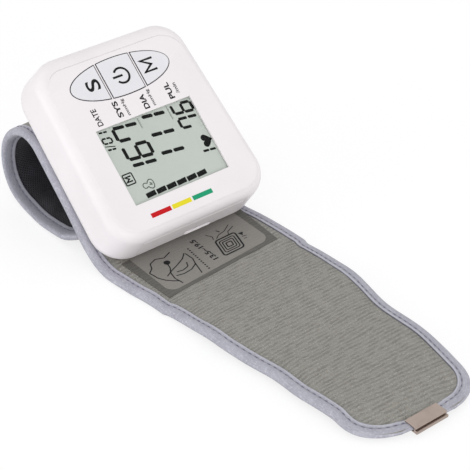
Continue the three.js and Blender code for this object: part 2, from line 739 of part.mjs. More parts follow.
function makeScrews() {
  const profile = [
    [0, 0],
    [screw.head / 2, 0],
    [screw.head / 2, screw.headHeight - clearance],
    [screw.shank / 2, screw.headHeight - clearance],
    [screw.shank / 2, screw.length],
    [0, screw.length],
  ].map(([radius, height]) => new THREE.Vector2(radius, height));
  return bossPlaces.map(([x, y], index) => {
    const turned = new THREE.LatheGeometry(profile, sides / 2);
    turned.rotateX(Math.PI / 2);
    turned.translate(x, y, 0);
    return piece(`case_screw_${index + 1}`, solid(turned), 'steel');
  });
}

// Where the middle of the housing's back lies: a clearance above the cuff's slope
function housingPlace() {
  const up = halfHousing.x - housing.pastFoot;
  const rise = cuff.slopeThickness + clearance;
  return [
    cuff.foot - up * Math.cos(housing.tilt) + rise * Math.sin(housing.tilt),
    0,
    up * Math.sin(housing.tilt) + rise * Math.cos(housing.tilt),
  ];
}

function makeHousing() {
  const group = new THREE.Group();
  group.add(makeFrontShell(), makeBackShell(), ...makeFace(), ...makeDisplay(), ...makeKeys());
  group.add(...makeBoard(), ...makeAirSystem(), ...makeCells(), makeCover(), ...makeScrews());
  group.add(...makeHolder());
  group.rotation.y = housing.tilt;
  group.position.set(...housingPlace());
  return group;
}

// The cuff is as wide as the housing, with a little over at both sides
const cuffHalf = halfHousing.y + cuff.overhang;

// The cuff's route: its lining side as lines and arcs, from its flat end up the slope, round the
// curl and back underneath. A turn is positive to the left of the way along it.
const flatEnd = strap.firstHinge - strap.thickness / 2 - strap.hingeGap;
const footReach = cuff.footRadius * Math.tan(housing.tilt / 2);
const slopeLength = (cuff.foot - cuff.slopeEnd) / Math.cos(housing.tilt) - footReach;
const routeLegs = [
  { length: flatEnd - cuff.foot - footReach, turn: 0 },
  { length: cuff.footRadius * housing.tilt, turn: -housing.tilt },
  { length: slopeLength, turn: 0 },
  curlLeg(cuff.curlRadius, Math.PI - housing.tilt, cuff.innerStart),
  curlLeg(cuff.innerRadius, cuff.innerStart, 2 * Math.PI),
  tailLeg(cuff.tailRadius * cuff.tailTurn - cuff.endCorner),
  tailLeg(cuff.endCorner),
];
const legEnds = routeLegs.reduce((ends, leg) => [...ends, ends.at(-1) + leg.length], [0]);
const routeLength = legEnds.at(-1);

function tailLeg(length) {
  return { length, turn: length / cuff.tailRadius };
}

function curlLeg(radius, from, to) {
  return { length: radius * (to - from), turn: to - from };
}

// Where the route is after a length along it, which way it heads, and its outward normal
function routeAt(along) {
  let x = flatEnd;
  let z = 0;
  let heading = Math.PI;
  let left = along;
  for (const leg of routeLegs) {
    const done = Math.max(Math.min(left, leg.length), 0);
    left -= done;
    if (leg.turn === 0) {
      x += done * Math.cos(heading);
      z += done * Math.sin(heading);
    } else {
      const next = heading + (leg.turn * done) / leg.length;
      const radius = leg.length / leg.turn;
      x += radius * (Math.sin(next) - Math.sin(heading));
      z += radius * (Math.cos(heading) - Math.cos(next));
      heading = next;
    }
  }
  return { x, z, normalX: Math.sin(heading), normalZ: -Math.cos(heading) };
}

// Places along the route, close together where it bends
function stations(from, to) {
  const places = [from];
  routeLegs.forEach((leg, index) => {
    const bend = Math.abs(leg.turn);
    const steps = Math.max(Math.ceil(bend / routeStep), flatSteps);
    for (let k = 0; k <= steps; k += 1) {
      const place = legEnds[index] + (leg.length * k) / steps;
      if (place > places.at(-1) + clearance && place < to - clearance) places.push(place);
    }
  });
  places.push(to);
  return places;
}

const smooth = (share) => share * share * (3 - 2 * share);

// The sandwich thickens from the strap's to the slope's, and again round the curl
function cuffThickness(along) {
  const onSlope = smooth(THREE.MathUtils.clamp((along - legEnds[1]) / (legEnds[2] - legEnds[1]), 0, 1));
  const thinner = THREE.MathUtils.lerp(strap.thickness, cuff.slopeThickness, onSlope);
  const onCurl = smooth(THREE.MathUtils.clamp((along - legEnds[3]) / cuff.innerRadius, 0, 1));
  const thick = THREE.MathUtils.lerp(thinner, cuff.curlThickness, onCurl);
  // It closes up again to its hidden end
  const nearEnd = smooth(THREE.MathUtils.clamp((along - routeLength) / cuff.endCorner + 1, 0, 1));
  return THREE.MathUtils.lerp(thick, strap.thickness, nearEnd);
}

function cuffHalfWidth(along) {
  const share = THREE.MathUtils.clamp((along - routeLength) / cuff.endCorner + 1, 0, 1);
  return cuffHalf - cuff.endNarrow * (1 - Math.sqrt(1 - share * share));
}

// A layer of the cuff: sectionAt gives its outline across the cuff as [y, height] pairs
function cuffLayer(from, to, sectionAt) {
  const places = stations(from, to);
  const outlines = places.map((along) => sectionAt(along));
  const sections = places.map((along, index) => {
    const at = routeAt(along);
    const place = ([y, h]) => new THREE.Vector3(at.x + at.normalX * h, y, at.z + at.normalZ * h);
    return outlines[index].map(place);
  });
  return skin(sections, outlines[0].map(([y, h]) => new THREE.Vector2(y, h)));
}

// A padded sheet whose thin web reaches under the binding at both sides
function stepped(halfPad, halfWeb, padFace, shelf, inner) {
  return [
    [-halfPad, padFace],
    [halfPad, padFace],
    [halfPad, shelf],
    [halfWeb, shelf],
    [halfWeb, inner],
    [-halfWeb, inner],
    [-halfWeb, shelf],
    [-halfPad, shelf],
  ];
}

const padInset = binding.flange + clearance;
const webInset = binding.web + clearance;

// The folded tape over one edge, open towards the middle of the cuff
function channel(side, edge, top) {
  const inner = edge - binding.flange;
  const wall = edge - binding.web;
  return [
    [edge, 0],
    [edge, top],
    [inner, top],
    [inner, top - binding.thickness],
    [wall, top - binding.thickness],
    [wall, binding.thickness],
    [inner, binding.thickness],
    [inner, 0],
  ].map(([y, h]) => [side * y, h]);
}

function makeCuff() {
  const lining = cuffLayer(0, routeLength, (along) => {
    const edge = cuffHalfWidth(along);
    const shelf = layers.lining - layers.liningWeb;
    return stepped(edge - padInset, edge - webInset, 0, shelf, layers.lining);
  });
  const fabricLayer = cuffLayer(0, routeLength, (along) => {
    const edge = cuffHalfWidth(along);
    const top = cuffThickness(along);
    const inner = top - layers.fabric;
    return stepped(edge - padInset, edge - webInset, top, inner + layers.fabricWeb, inner);
  });
  // An opening in the outer fabric lets the holder plate reach the curl sheet
  const holderFrame = new THREE.Matrix4().makeRotationY(housing.tilt).setPosition(...housingPlace());
  const opening = prism(holderOutline(clearance), nippleBottom, housing.wall).transform(holderFrame.elements);
  const fabric = solid(fabricLayer).subtract(opening);
  const reach = post(nipple.diameter / 2 + clearance, nippleBottom - overrun, 0, manifoldX, 0);
  const reachHole = reach.transform(holderFrame.elements);
  const sheetFrom = legEnds[2];
  const sheetTo = routeLength - cuff.endCorner;
  const halfSheet = cuffHalf - layers.sheetMargin;
  const sheetLayer = cuffLayer(sheetFrom, sheetTo, (along) => {
    const top = cuffThickness(along) - layers.fabric - clearance;
    return bar(halfSheet, top - layers.sheet, top);
  });
  const halfBladder = cuffHalf - layers.bladderMargin;
  const bladder = cuffLayer(sheetFrom, sheetTo, (along) => {
    const top = cuffThickness(along) - layers.fabric - layers.sheet - 2 * clearance;
    return bar(halfBladder, layers.lining + clearance, top);
  });
  const bindings = [-1, 1].map((side) =>
    cuffLayer(0, routeLength, (along) => channel(side, cuffHalfWidth(along), cuffThickness(along))),
  );
  return [
    piece('cuff_lining', lining, 'liningMesh'),
    piece('cuff_fabric', fabric, 'loopFabric'),
    piece('curl_sheet', solid(sheetLayer).subtract(reachHole), 'sheetPlastic'),
    piece('air_bladder', bladder, 'rubber'),
    piece('cuff_binding_near', bindings[0], 'bindingTape'),
    piece('cuff_binding_far', bindings[1], 'bindingTape'),
  ];
}

function bar(half, low, high) {
  return [
    [-half, low],
    [half, low],
    [half, high],
    [-half, high],
  ];
}

// The strap's outline

const strapLinks = 3;
const strapEnd = strap.firstHinge + (strapLinks - 1) * strap.linkLength + strap.tipLength;
const strapLength = strapEnd - strap.firstHinge;
const roundStart = strapEnd - strap.roundLength;
const clipInner = strapEnd - clip.overlap;
const clipOuter = strapEnd + clip.beyond;
const edgeCurve = new THREE.SplineCurve(
  alongShares.map((share, index) => {
    const x = strap.firstHinge + share * strapLength;
    return new THREE.Vector2(x, widthShares[index] * cuffHalf);
  }),
).getPoints(alongShares.length * edgeSteps);

function strapHalfWidth(x) {
  const last = edgeCurve.length - 1;
  const next = edgeCurve.findIndex((point) => point.x >= x);
  if (next === 0) return edgeCurve[0].y;
  if (next < 0) return edgeCurve[last].y;
  const [before, after] = [edgeCurve[next - 1], edgeCurve[next]];
  return THREE.MathUtils.mapLinear(x, before.x, after.x, before.y, after.y);
}

// Moves an open line to its left, which is the inside of the strap
function drawIn(points, inset) {
  return points.map((point, index) => {
    const before = points[Math.max(index - 1, 0)];
    const after = points[Math.min(index + 1, points.length - 1)];
    const along = after.clone().sub(before).normalize();
    return new THREE.Vector2(point.x - along.y * inset, point.y + along.x * inset);
  });
}

// A link's outline: its near edge, the free end's curve where it has one, and its far edge
function strapOutline(from, to, inset) {
  const isTip = to >= strapEnd;
  const stop = isTip ? roundStart : to;
  const near = [];
  for (let k = 0; k <= edgeSteps; k += 1) {
    const x = THREE.MathUtils.lerp(from, stop, k / edgeSteps);
    near.push(new THREE.Vector2(x, -strapHalfWidth(x)));
  }
  const far = near.map((point) => new THREE.Vector2(point.x, -point.y)).reverse();
  if (!isTip) return [...drawIn(near, inset), ...drawIn(far, inset)];
  const round = [];
  const power = 2 / strap.roundPower;
  const halfWidth = strapHalfWidth(roundStart);
  for (let k = 1; k < endSteps; k += 1) {
    const angle = (Math.PI * k) / endSteps;
    const x = roundStart + (strapEnd - roundStart) * Math.sin(angle) ** power;
    const across = Math.abs(Math.cos(angle)) ** power;
    round.push(new THREE.Vector2(x, -Math.sign(Math.cos(angle)) * halfWidth * across));
  }
  return drawIn([...near, ...round, ...far], inset);
}

// A link's side view: a round end that turns about the hinge, and a straight far end
function linkEnvelope(hinge, to) {
  const radius = strap.thickness / 2;
  const profile = new THREE.Shape();
  profile.absarc(hinge, radius, radius, -Math.PI / 2, -Math.PI * 1.5, true);
  profile.lineTo(to, strap.thickness);
  profile.lineTo(to, 0);
  const geometry = new THREE.ExtrudeGeometry(profile, {
    depth: 4 * cuffHalf,
    bevelEnabled: false,
    curveSegments: endSteps,
  });
  geometry.rotateX(Math.PI / 2);
  return solid(geometry.translate(0, 2 * cuffHalf, 0));
}

function halfPlane(side) {
  const wide = 2 * cuffHalf;
  const across = side < 0 ? [-wide, 0] : [0, wide];
  return block([-wide, 2 * strapEnd], across, [-wide, wide]);
}

function makeLink(index, hinge) {
  const isTip = index === strapLinks;
  const end = isTip ? strapEnd : hinge + strap.linkLength - strap.thickness / 2 - strap.hingeGap;
  const envelope = linkEnvelope(hinge, end + (isTip ? overrun : 0));
  const start = hinge - strap.thickness;
  const layer = (inset, low, high) => {
    const to = isTip ? end : end + overrun;
    return prism(strapOutline(start, to, inset), low, high);
  };
  const top = strap.thickness;
  const shelf = strap.lining - strap.web;
  const inner = top - strap.fabric;
  let lining = layer(padInset, 0, strap.lining).add(layer(webInset, shelf, strap.lining));
  let fabric = layer(padInset, inner, top).add(layer(webInset, inner, inner + strap.web));
  let tape = layer(0, 0, top).subtract(layer(binding.web, binding.thickness, top - binding.thickness));
  tape = tape.subtract(layer(binding.flange, -overrun, top + overrun));
  const extras = [];
  if (isTip) {
    // The hook patch lies in a shallow recess of the lining
    const hookEnds = [hinge + hook.afterHinge, clipInner - hook.beforeClip];
    const hookHalf = (hookEnds[1] - hookEnds[0]) / 2;
    const hookMiddle = hookEnds[0] + hookHalf;
    const pocketHalf = [hookHalf + clearance, hook.halfWidth + clearance];
    const pocket = roundedOutline(pocketHalf[0], pocketHalf[1], hook.cornerRadius, hookMiddle);
    lining = lining.subtract(prism(pocket, -overrun, hook.thickness + clearance));
    const patch = roundedOutline(hookHalf, hook.halfWidth, hook.cornerRadius, hookMiddle);
    extras.push(piece('hook_patch', prism(patch, 0, hook.thickness), 'liningMesh'));
    // The end is pressed thinner inside the clip
    const pressed = clipNotch();
    lining = lining.subtract(pressed);
    fabric = fabric.subtract(pressed);
    tape = tape.subtract(pressed);
    extras.push(makeClip());
  }
  const cut = (body) => body.intersect(envelope);
  const tapes = isTip
    ? [piece('strap_tip_binding', cut(tape), 'bindingTape')]
    : [
        piece(`strap_${index}_binding_near`, cut(tape).intersect(halfPlane(-1)), 'bindingTape'),
        piece(`strap_${index}_binding_far`, cut(tape).intersect(halfPlane(1)), 'bindingTape'),
      ];
  const name = isTip ? 'strap_tip' : `strap_${index}`;
  return [
    piece(`${name}_fabric`, cut(fabric), 'loopFabric'),
    piece(`${name}_lining`, cut(lining), 'liningMesh'),
    ...tapes,
    ...extras,
  ];
}

// The room above and below the pressed end that the clip's two plates fill
function clipNotch() {
  const x = [clipInner - clearance, clipOuter];
  const y = [-clip.halfWidth - clearance, clip.halfWidth + clearance];
  const under = block(x, y, [-overrun, clip.sheet + clearance]);
  return under.add(block(x, y, [clip.height - clip.sheet - clearance, clip.height]));
}

// A strip of sheet steel folded over the strap's end
function makeClip() {
  const outline = (inset, open) => {
    const radius = clip.height / 2;
    const profile = new THREE.Shape();
    profile.moveTo(clipInner - open, inset);
    profile.lineTo(clipOuter - radius, inset);
    profile.absarc(clipOuter - radius, radius, radius - inset, -Math.PI / 2, Math.PI / 2, false);
    profile.lineTo(clipInner - open, clip.height - inset);
    const geometry = new THREE.ExtrudeGeometry(profile, {
      depth: 2 * (clip.halfWidth + open),
      bevelEnabled: false,
      curveSegments: endSteps / 2,
    });
    geometry.rotateX(Math.PI / 2);
    return solid(geometry.translate(0, clip.halfWidth + open, 0));
  };
  return piece('end_clip', outline(0, 0).subtract(outline(clip.sheet, overrun)), 'steel');
}

// The printed panel sewn to the cuff in front of the housing
function makeLabel() {
  const half = (label.front - label.back) / 2;
  const outline = roundedOutline(half, cuffHalf - label.sideMargin, label.cornerRadius, label.back + half);
  const low = strap.thickness + seating;
  return piece('size_label', prism(outline, low, low + label.thickness), 'labelPrint');
}

const assembly = new THREE.Group();
assembly.add(makeHousing(), ...makeCuff(), makeLabel());
for (let index = 1; index <= strapLinks; index += 1) {
  assembly.add(...makeLink(index, strap.firstHinge + (index - 1) * strap.linkLength));
}
export default assembly;
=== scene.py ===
"""The looks of a wrist blood pressure monitor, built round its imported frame.

A white housing with a display and three keys leans on a soft cuff that curls behind it. The cuff
runs on as a long strap of loop fabric, bound with tape and ended by a folded steel clip. Sizes are
in millimetres and MM brings them to metres. The housing's own frame has x towards the strap's free
end, y across and z from its back to its face.
"""

import json
import logging
import math
from dataclasses import dataclass, field
from enum import Enum
from typing import Callable, Iterable, Optional, Sequence

import bmesh
import bpy
import numpy as np
from mathutils import Matrix, Vector, geometry, noise


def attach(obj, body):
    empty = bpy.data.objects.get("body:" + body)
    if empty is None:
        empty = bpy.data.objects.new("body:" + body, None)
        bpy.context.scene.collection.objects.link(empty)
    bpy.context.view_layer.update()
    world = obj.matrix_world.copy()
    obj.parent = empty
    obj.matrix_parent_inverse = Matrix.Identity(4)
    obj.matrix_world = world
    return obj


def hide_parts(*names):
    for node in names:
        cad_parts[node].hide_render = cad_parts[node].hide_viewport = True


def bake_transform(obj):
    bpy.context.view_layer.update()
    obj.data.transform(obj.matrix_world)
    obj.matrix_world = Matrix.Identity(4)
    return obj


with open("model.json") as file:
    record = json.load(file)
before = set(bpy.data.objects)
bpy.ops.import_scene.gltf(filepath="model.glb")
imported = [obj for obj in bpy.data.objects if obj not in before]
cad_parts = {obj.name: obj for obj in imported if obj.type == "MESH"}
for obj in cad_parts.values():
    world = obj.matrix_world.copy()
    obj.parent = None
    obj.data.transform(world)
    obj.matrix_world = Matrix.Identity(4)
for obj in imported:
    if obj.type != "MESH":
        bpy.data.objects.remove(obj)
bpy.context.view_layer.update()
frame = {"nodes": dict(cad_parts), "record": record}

MM = 0.001
LOG = logging.getLogger("wrist_monitor")
Point2 = tuple[float, float]
Point3 = tuple[float, float, float]
Colour = tuple[float, float, float, float]
Rings = list[list[Vector]]
Piece = bpy.types.Object
UNMOVED = Matrix.Identity(4)
IN_MM = Matrix.Scale(MM, 4)
WHITE: Colour = (1, 1, 1, 1)
ROUND_STEPS = 32
MITRE_LIMIT = 0.4
WELD = 1e-7


class Body(Enum):
    """The bodies that pieces ride on."""

    MONITOR = "monitor"
    KEY_SET = "key_set"
    KEY_POWER = "key_power"
    KEY_MEMORY = "key_memory"
    COVER = "battery_cover"
    STRAP_1 = "strap_1"
    STRAP_2 = "strap_2"
    STRAP_TIP = "strap_tip"


class Slot(Enum):
    """The material slots of the record."""

    WHITE = "white_plastic"
    CLEAR = "clear_plastic"
    GLASS = "display_glass"
    KEY = "key_plastic"
    GREY = "grey_plastic"
    RUBBER = "black_rubber"
    BLACK = "black_plastic"
    BOARD = "board"
    STEEL = "steel"
    BRASS = "brass"
    CELL = "cell_jacket"
    HOSE = "hose"
    SHEET = "sheet_plastic"
    LOOP = "loop_fabric"
    LINING = "lining_mesh"
    TAPE = "binding_tape"
    HOOK = "hook_plastic"
    PRINT = "label_print"


# Shader tools


def tint(code: str) -> Colour:
    """Turn a colour written as #rrggbb into linear light.

    Args:
        code: The colour as #rrggbb.

    Returns:
        The colour with its alpha.
    """
    parts = [int(code[k : k + 2], 16) / 255 for k in (1, 3, 5)]
    light = [c / 12.92 if c <= 0.04045 else ((c + 0.055) / 1.055) ** 2.4 for c in parts]
    return (light[0], light[1], light[2], 1.0)


def toned(colour: Colour, factor: float, lift: float = 0.0) -> Colour:
    """Darken or lighten a colour: each channel times a factor plus a lift, 1 at most."""
    red, green, blue = (min(1.0, c * factor + lift) for c in colour[:3])
    return (red, green, blue, 1.0)


class Strand:
    """A shader socket that takes part in sums.

    Args:
        web: The node web it belongs to.
        socket: The output socket it stands for.
    """

    def __init__(self, web: "Web", socket: bpy.types.NodeSocket) -> None:
        """Keep the web and the socket."""
        self.web = web
        self.socket = socket

    def sum_of(self, operation: str, *values: "Strand | float") -> "Strand":
        """Add one Math node over the values."""
        return self.web.node("ShaderNodeMath", {"operation": operation}, dict(enumerate(values)))

    def __add__(self, other: "Strand | float") -> "Strand":
        """Return self + other."""
        return self.sum_of("ADD", self, other)

    __radd__ = __add__

    def __sub__(self, other: "Strand | float") -> "Strand":
        """Return self - other."""
        return self.sum_of("SUBTRACT", self, other)

    def __rsub__(self, other: "Strand | float") -> "Strand":
        """Return other - self."""
        return self.sum_of("SUBTRACT", other, self)

    def __mul__(self, other: "Strand | float") -> "Strand":
        """Return self * other."""
        return self.sum_of("MULTIPLY", self, other)

    __rmul__ = __mul__

    def __truediv__(self, other: "Strand | float") -> "Strand":
        """Return self / other."""
        return self.sum_of("DIVIDE", self, other)

    def sine(self) -> "Strand":
        """Return the sine of this number."""
        return self.sum_of("SINE", self)

    def wave(self, pitch: float) -> "Strand":
        """Return a wave between 0 and 1 that repeats at a pitch of this number."""
        return (self * (math.tau / pitch)).sine() * 0.5 + 0.5

    def size(self) -> "Strand":
        """Return the number without its sign."""
        return self.sum_of("ABSOLUTE", self)

    def most(self, other: "Strand | float") -> "Strand":
        """Return the larger of two numbers."""
        return self.sum_of("MAXIMUM", self, other)

    def rise(self, low: float, high: float, start: float = 0.0, end: float = 1.0) -> "Strand":
        """Go smoothly from start to end as this number goes from low to high.

        Args:
            low: Where the rise starts.
            high: Where it is done.
            start: The result up to low.
            end: The result from high on.

        Returns:
            The risen number.
        """
        settings = {"interpolation_type": "SMOOTHSTEP"}
        values = {0: self, 1: low, 2: high, 3: start, 4: end}
        return self.web.node("ShaderNodeMapRange", settings, values)


class Web:
    """The node web of one material, ended by a Principled shader.

    Args:
        name: The material's name.
    """

    def __init__(self, name: str) -> None:
        """Make the material with only its shader and its output.

        Args:
            name: The material's name.
        """
        self.material = bpy.data.materials.new(name)
        self.material.use_nodes = True
        self.tree = self.material.node_tree
        self.tree.nodes.clear()
        self.shader = self.tree.nodes.new("ShaderNodeBsdfPrincipled")
        output = self.tree.nodes.new("ShaderNodeOutputMaterial")
        self.tree.links.new(self.shader.outputs[0], output.inputs["Surface"])

    def node(
        self, kind: str, settings: Optional[dict] = None, values: Optional[dict] = None, output: int = 0
    ) -> Strand:
        """Add one node.

        Args:
            kind: The node's type.
            settings: Its properties, set first; "stops" are a ramp's positions and colours.
            values: Numbers, colours or strands by the name or index of an input.
            output: The index of the output that is returned.

        Returns:
            The chosen output as a strand.
        """
        node = self.tree.nodes.new(kind)
        for name, value in (settings or {}).items():
            if name == "stops":
                ramp = node.color_ramp
                while len(ramp.elements) < len(value):
                    ramp.elements.new(0.5)
                for element, (position, colour) in zip(ramp.elements, value):
                    element.position = position
                    element.color = colour
            else:
                setattr(node, name, value)
        for key, value in (values or {}).items():
            self.feed(node.inputs[key], value)
        return Strand(self, node.outputs[output])

    def feed(self, socket: bpy.types.NodeSocket, value: "Strand | float | Sequence[float]") -> None:
        """Link a strand to an input, or set the input's own value.

        Args:
            socket: The input.
            value: The strand, number or colour it gets.
        """
        if isinstance(value, Strand):
            self.tree.links.new(value.socket, socket)
        else:
            socket.default_value = value

    def place(self) -> Strand:
        """Return the object coordinates, in metres."""
        return self.node("ShaderNodeTexCoord", output=3)

    def flat(self) -> Strand:
        """Return the piece's own UV map, in millimetres over its cloth."""
        return self.node("ShaderNodeUVMap", {"uv_map": "cloth"})

    def part(self, vector: Strand, axis: int) -> Strand:
        """Return one coordinate of a vector."""
        return self.node("ShaderNodeSeparateXYZ", None, {0: vector}, output=axis)

    def scaled(self, vector: Strand, factors: Sequence[float]) -> Strand:
        """Multiply a vector's coordinates by three factors."""
        return self.node("ShaderNodeVectorMath", {"operation": "MULTIPLY"}, {0: vector, 1: factors})

    def clouds(self, vector: Strand, scale: float, detail: float = 2.0, rough: float = 0.5) -> Strand:
        """Return soft noise from 0 to 1."""
        values = {"Vector": vector, "Scale": scale, "Detail": detail, "Roughness": rough}
        return self.node("ShaderNodeTexNoise", None, values)

    def grained(self, vector: Strand, factors: Point3, detail: float = 3.0, rough: float = 0.5) -> Strand:
        """Return soft noise over a vector that is stretched by three factors first."""
        return self.clouds(self.scaled(vector, factors), 1.0, detail, rough)

    def cells(self, vector: Strand, scale: float, feature: str = "F1", stray: float = 1.0) -> Strand:
        """Return the distance in a Voronoi pattern."""
        values = {"Vector": vector, "Scale": scale, "Randomness": stray}
        return self.node("ShaderNodeTexVoronoi", {"feature": feature}, values)

    def blend(
        self, share: "Strand | float", first: "Strand | Colour", second: "Strand | Colour"
    ) -> Strand:
        """Mix two colours by a share."""
        return self.node("ShaderNodeMix", {"data_type": "RGBA"}, {0: share, 6: first, 7: second}, output=2)

    def relief(self, height: Strand, depth: float, strength: float = 1.0) -> Strand:
        """Turn a height from 0 to 1 into a bumped normal.

        Args:
            height: The height's pattern.
            depth: The height that 1 stands for, in millimetres.
            strength: The share of the bump that shows.

        Returns:
            The normal.
        """
        values = {"Strength": strength, "Distance": depth * MM, "Height": height}
        return self.node("ShaderNodeBump", None, values)

    def dress(self, **values: "Strand | float | Sequence[float]") -> bpy.types.Material:
        """Set the Principled shader's sockets, named with underscores for spaces.

        Args:
            values: What each socket gets.

        Returns:
            The material.
        """
        for name, value in values.items():
            self.feed(self.shader.inputs[name.replace("_", " ")], value)
        return self.material


# Finishes


@dataclass(frozen=True)
class Finish:
    """A finish that makes its material once and hands it out again."""

    name: str

    def build(self) -> bpy.types.Material:
        """Make the material."""
        raise NotImplementedError

    def material(self) -> bpy.types.Material:
        """Return the material, made at its first use."""
        return bpy.data.materials.get(self.name) or self.build()


@dataclass(frozen=True)
class Moulded(Finish):
    """Moulded plastic or rubber with a fine spark-eroded grain and faint flow marks."""

    colour: str = "#f1ecee"
    roughness: float = 0.4
    grain: float = 0.45
    depth: float = 0.006
    mottle: float = 0.02
    coat: float = 0.0

    def build(self) -> bpy.types.Material:
        """Make the material.

        Returns:
            The material.
        """
        web = Web(self.name)
        place = web.place()
        drift = web.clouds(place, 55, 3)
        grain = web.clouds(place, 1 / (self.grain * MM), 2, 0.6)
        base = tint(self.colour)
        rub = web.node("ShaderNodeNewGeometry", output=7).rise(0.52, 0.62)
        colour = web.blend(drift.rise(0.3, 0.75, 0, 0.8), base, toned(base, 1 - 2.5 * self.mottle))
        return web.dress(
            Base_Color=web.blend(rub * 0.5, colour, toned(base, 1.03, 0.004)),
            Roughness=self.roughness + (grain - 0.5) * 0.12 + (drift - 0.5) * 0.1 - rub * 0.08,
            Normal=web.relief(grain, self.depth),
            Coat_Weight=self.coat,
        )


@dataclass(frozen=True)
class Pane(Finish):
    """Thin clear plastic with a trace of haze."""

    colour: str = "#262a28"
    cover: float = 0.002

    def build(self) -> bpy.types.Material:
        """Make the material.

        Returns:
            The material.
        """
        web = Web(self.name)
        haze = web.clouds(web.place(), 90, 3)
        return web.dress(
            Base_Color=web.blend(haze, tint(self.colour), tint("#3a3f3c")),
            Roughness=0.06 + haze * 0.06,
            Alpha=self.cover + haze * 0.004,
        )


@dataclass(frozen=True)
class CrystalGlass(Finish):
    """The display's grey-green glass, a little uneven, with a fine speckle."""

    colour: str = "#c5ccc5"

    def build(self) -> bpy.types.Material:
        """Make the material.

        Returns:
            The material.
        """
        web = Web(self.name)
        place = web.place()
        drift = web.clouds(place, 28, 2)
        speck = web.clouds(place, 4200, 2)
        base = web.blend(drift.rise(0.3, 0.7), tint(self.colour), tint("#c0c8c1"))
        return web.dress(
            Base_Color=web.blend(speck.rise(0.45, 0.7, 0, 0.35), base, tint("#bac2bb")),
            Roughness=0.3 + speck * 0.1,
            Normal=web.relief(speck, 0.004),
            Specular_IOR_Level=0.25,
        )


@dataclass(frozen=True)
class Ink(Finish):
    """Printed ink, slightly uneven."""

    colour: str = "#1b1b1d"
    roughness: float = 0.45

    def build(self) -> bpy.types.Material:
        """Make the material.

        Returns:
            The material.
        """
        web = Web(self.name)
        speck = web.clouds(web.place(), 3600, 3)
        base = tint(self.colour)
        return web.dress(
            Base_Color=web.blend(speck.rise(0.4, 0.75), base, toned(base, 1.12, 0.0015)),
            Roughness=self.roughness + speck * 0.1,
            Normal=web.relief(speck, 0.003),
            Specular_IOR_Level=0.16,
        )


@dataclass(frozen=True)
class Metal(Finish):
    """Plated or drawn metal with fine lines along one direction."""

    colour: str = "#b9b6b2"
    roughness: float = 0.3
    lines: Point3 = (160.0, 4200.0, 4200.0)

    def build(self) -> bpy.types.Material:
        """Make the material.

        Returns:
            The material.
        """
        web = Web(self.name)
        place = web.place()
        drawn = web.grained(place, self.lines)
        smear = web.clouds(place, 240, 3)
        base = tint(self.colour)
        return web.dress(
            Base_Color=web.blend(smear.rise(0.35, 0.75, 0, 0.6), base, toned(base, 0.82)),
            Metallic=1.0,
            Roughness=self.roughness + drawn * 0.12 + (smear - 0.5) * 0.14,
            Normal=web.relief(drawn, 0.004),
        )


@dataclass(frozen=True)
class Laminate(Finish):
    """A circuit board: solder mask over tracks, with a few bare pads."""

    colour: str = "#1f6b3c"

    def build(self) -> bpy.types.Material:
        """Make the material.

        Returns:
            The material.
        """
        web = Web(self.name)
        place = web.place()
        tracks = web.cells(place, 420, "DISTANCE_TO_EDGE", 0.55).rise(0.03, 0.07)
        pads = web.cells(place, 330).rise(0.1, 0.16)
        mask = web.blend(tracks, tint("#2f8150"), tint(self.colour))
        return web.dress(
            Base_Color=web.blend(pads, tint("#cdb37a"), mask),
            Roughness=0.35 + pads * 0.15,
            Normal=web.relief(tracks, 0.03),
        )


@dataclass(frozen=True)
class LoopPile(Finish):
    """Brushed loop fabric: ribs across the strap that break up under a short pile of loops, with painted
    shade in the rib hollows and a painted highlight on the tops of the loops and ribs.
    """

    colour: str = "#a29f98"
    second: str = "#a09e98"
    # Painted shade colour for the rib hollows and the gaps in the pile
    shade: str = "#686661"
    # Painted highlight colour for the tops of the loops and ribs
    tip: str = "#c8c6c1"
    pitch: float = 1.7

    def build(self) -> bpy.types.Material:
        """Make the material.

        Returns:
            The material.
        """
        web = Web(self.name)
        cloth = web.flat()
        sway = web.grained(cloth, (0.22, 0.1, 1), 2)
        frayed = web.grained(cloth, (1.0, 0.8, 1))
        along = web.part(cloth, 0) + (sway - 0.5) * 2.0 + (frayed - 0.5) * 1.2
        rib = along.wave(self.pitch)
        worn = web.grained(cloth, (0.3, 0.24, 1)).rise(0.36, 0.62, 0.25, 1)
        loops = web.cells(web.scaled(cloth, (1.9, 1.45, 1)), 1.0).rise(0.1, 0.66, 1, 0)
        fuzz = web.grained(cloth, (2.6, 1.9, 1), 4, 0.66)
        tuft = web.grained(cloth, (0.05, 0.07, 1))
        # Painted shade: darker in the rib hollows, plus darker mottling where the pile is sparse
        hollow = (1 - rib) * worn * 0.42 + (1 - fuzz).rise(0.35, 0.75, 0, 0.45)
        # Painted highlight: lighter on the tops of the loops and ribs
        tip_highlight = (loops * 0.5 + fuzz * 0.6 + rib * 0.12).rise(0.6, 1.05, 0, 0.7)
        base = web.blend(tuft.rise(0.32, 0.7), tint(self.colour), tint(self.second))
        return web.dress(
            Base_Color=web.blend(tip_highlight, web.blend(hollow, base, tint(self.shade)), tint(self.tip)),
            Roughness=0.9 + fuzz * 0.1,
            Normal=web.relief(rib * worn * 0.42 + loops * 0.35 + fuzz * 0.55, 0.44),
            Sheen_Weight=0.12,
            Sheen_Roughness=0.5,
            Specular_IOR_Level=0.2,
        )


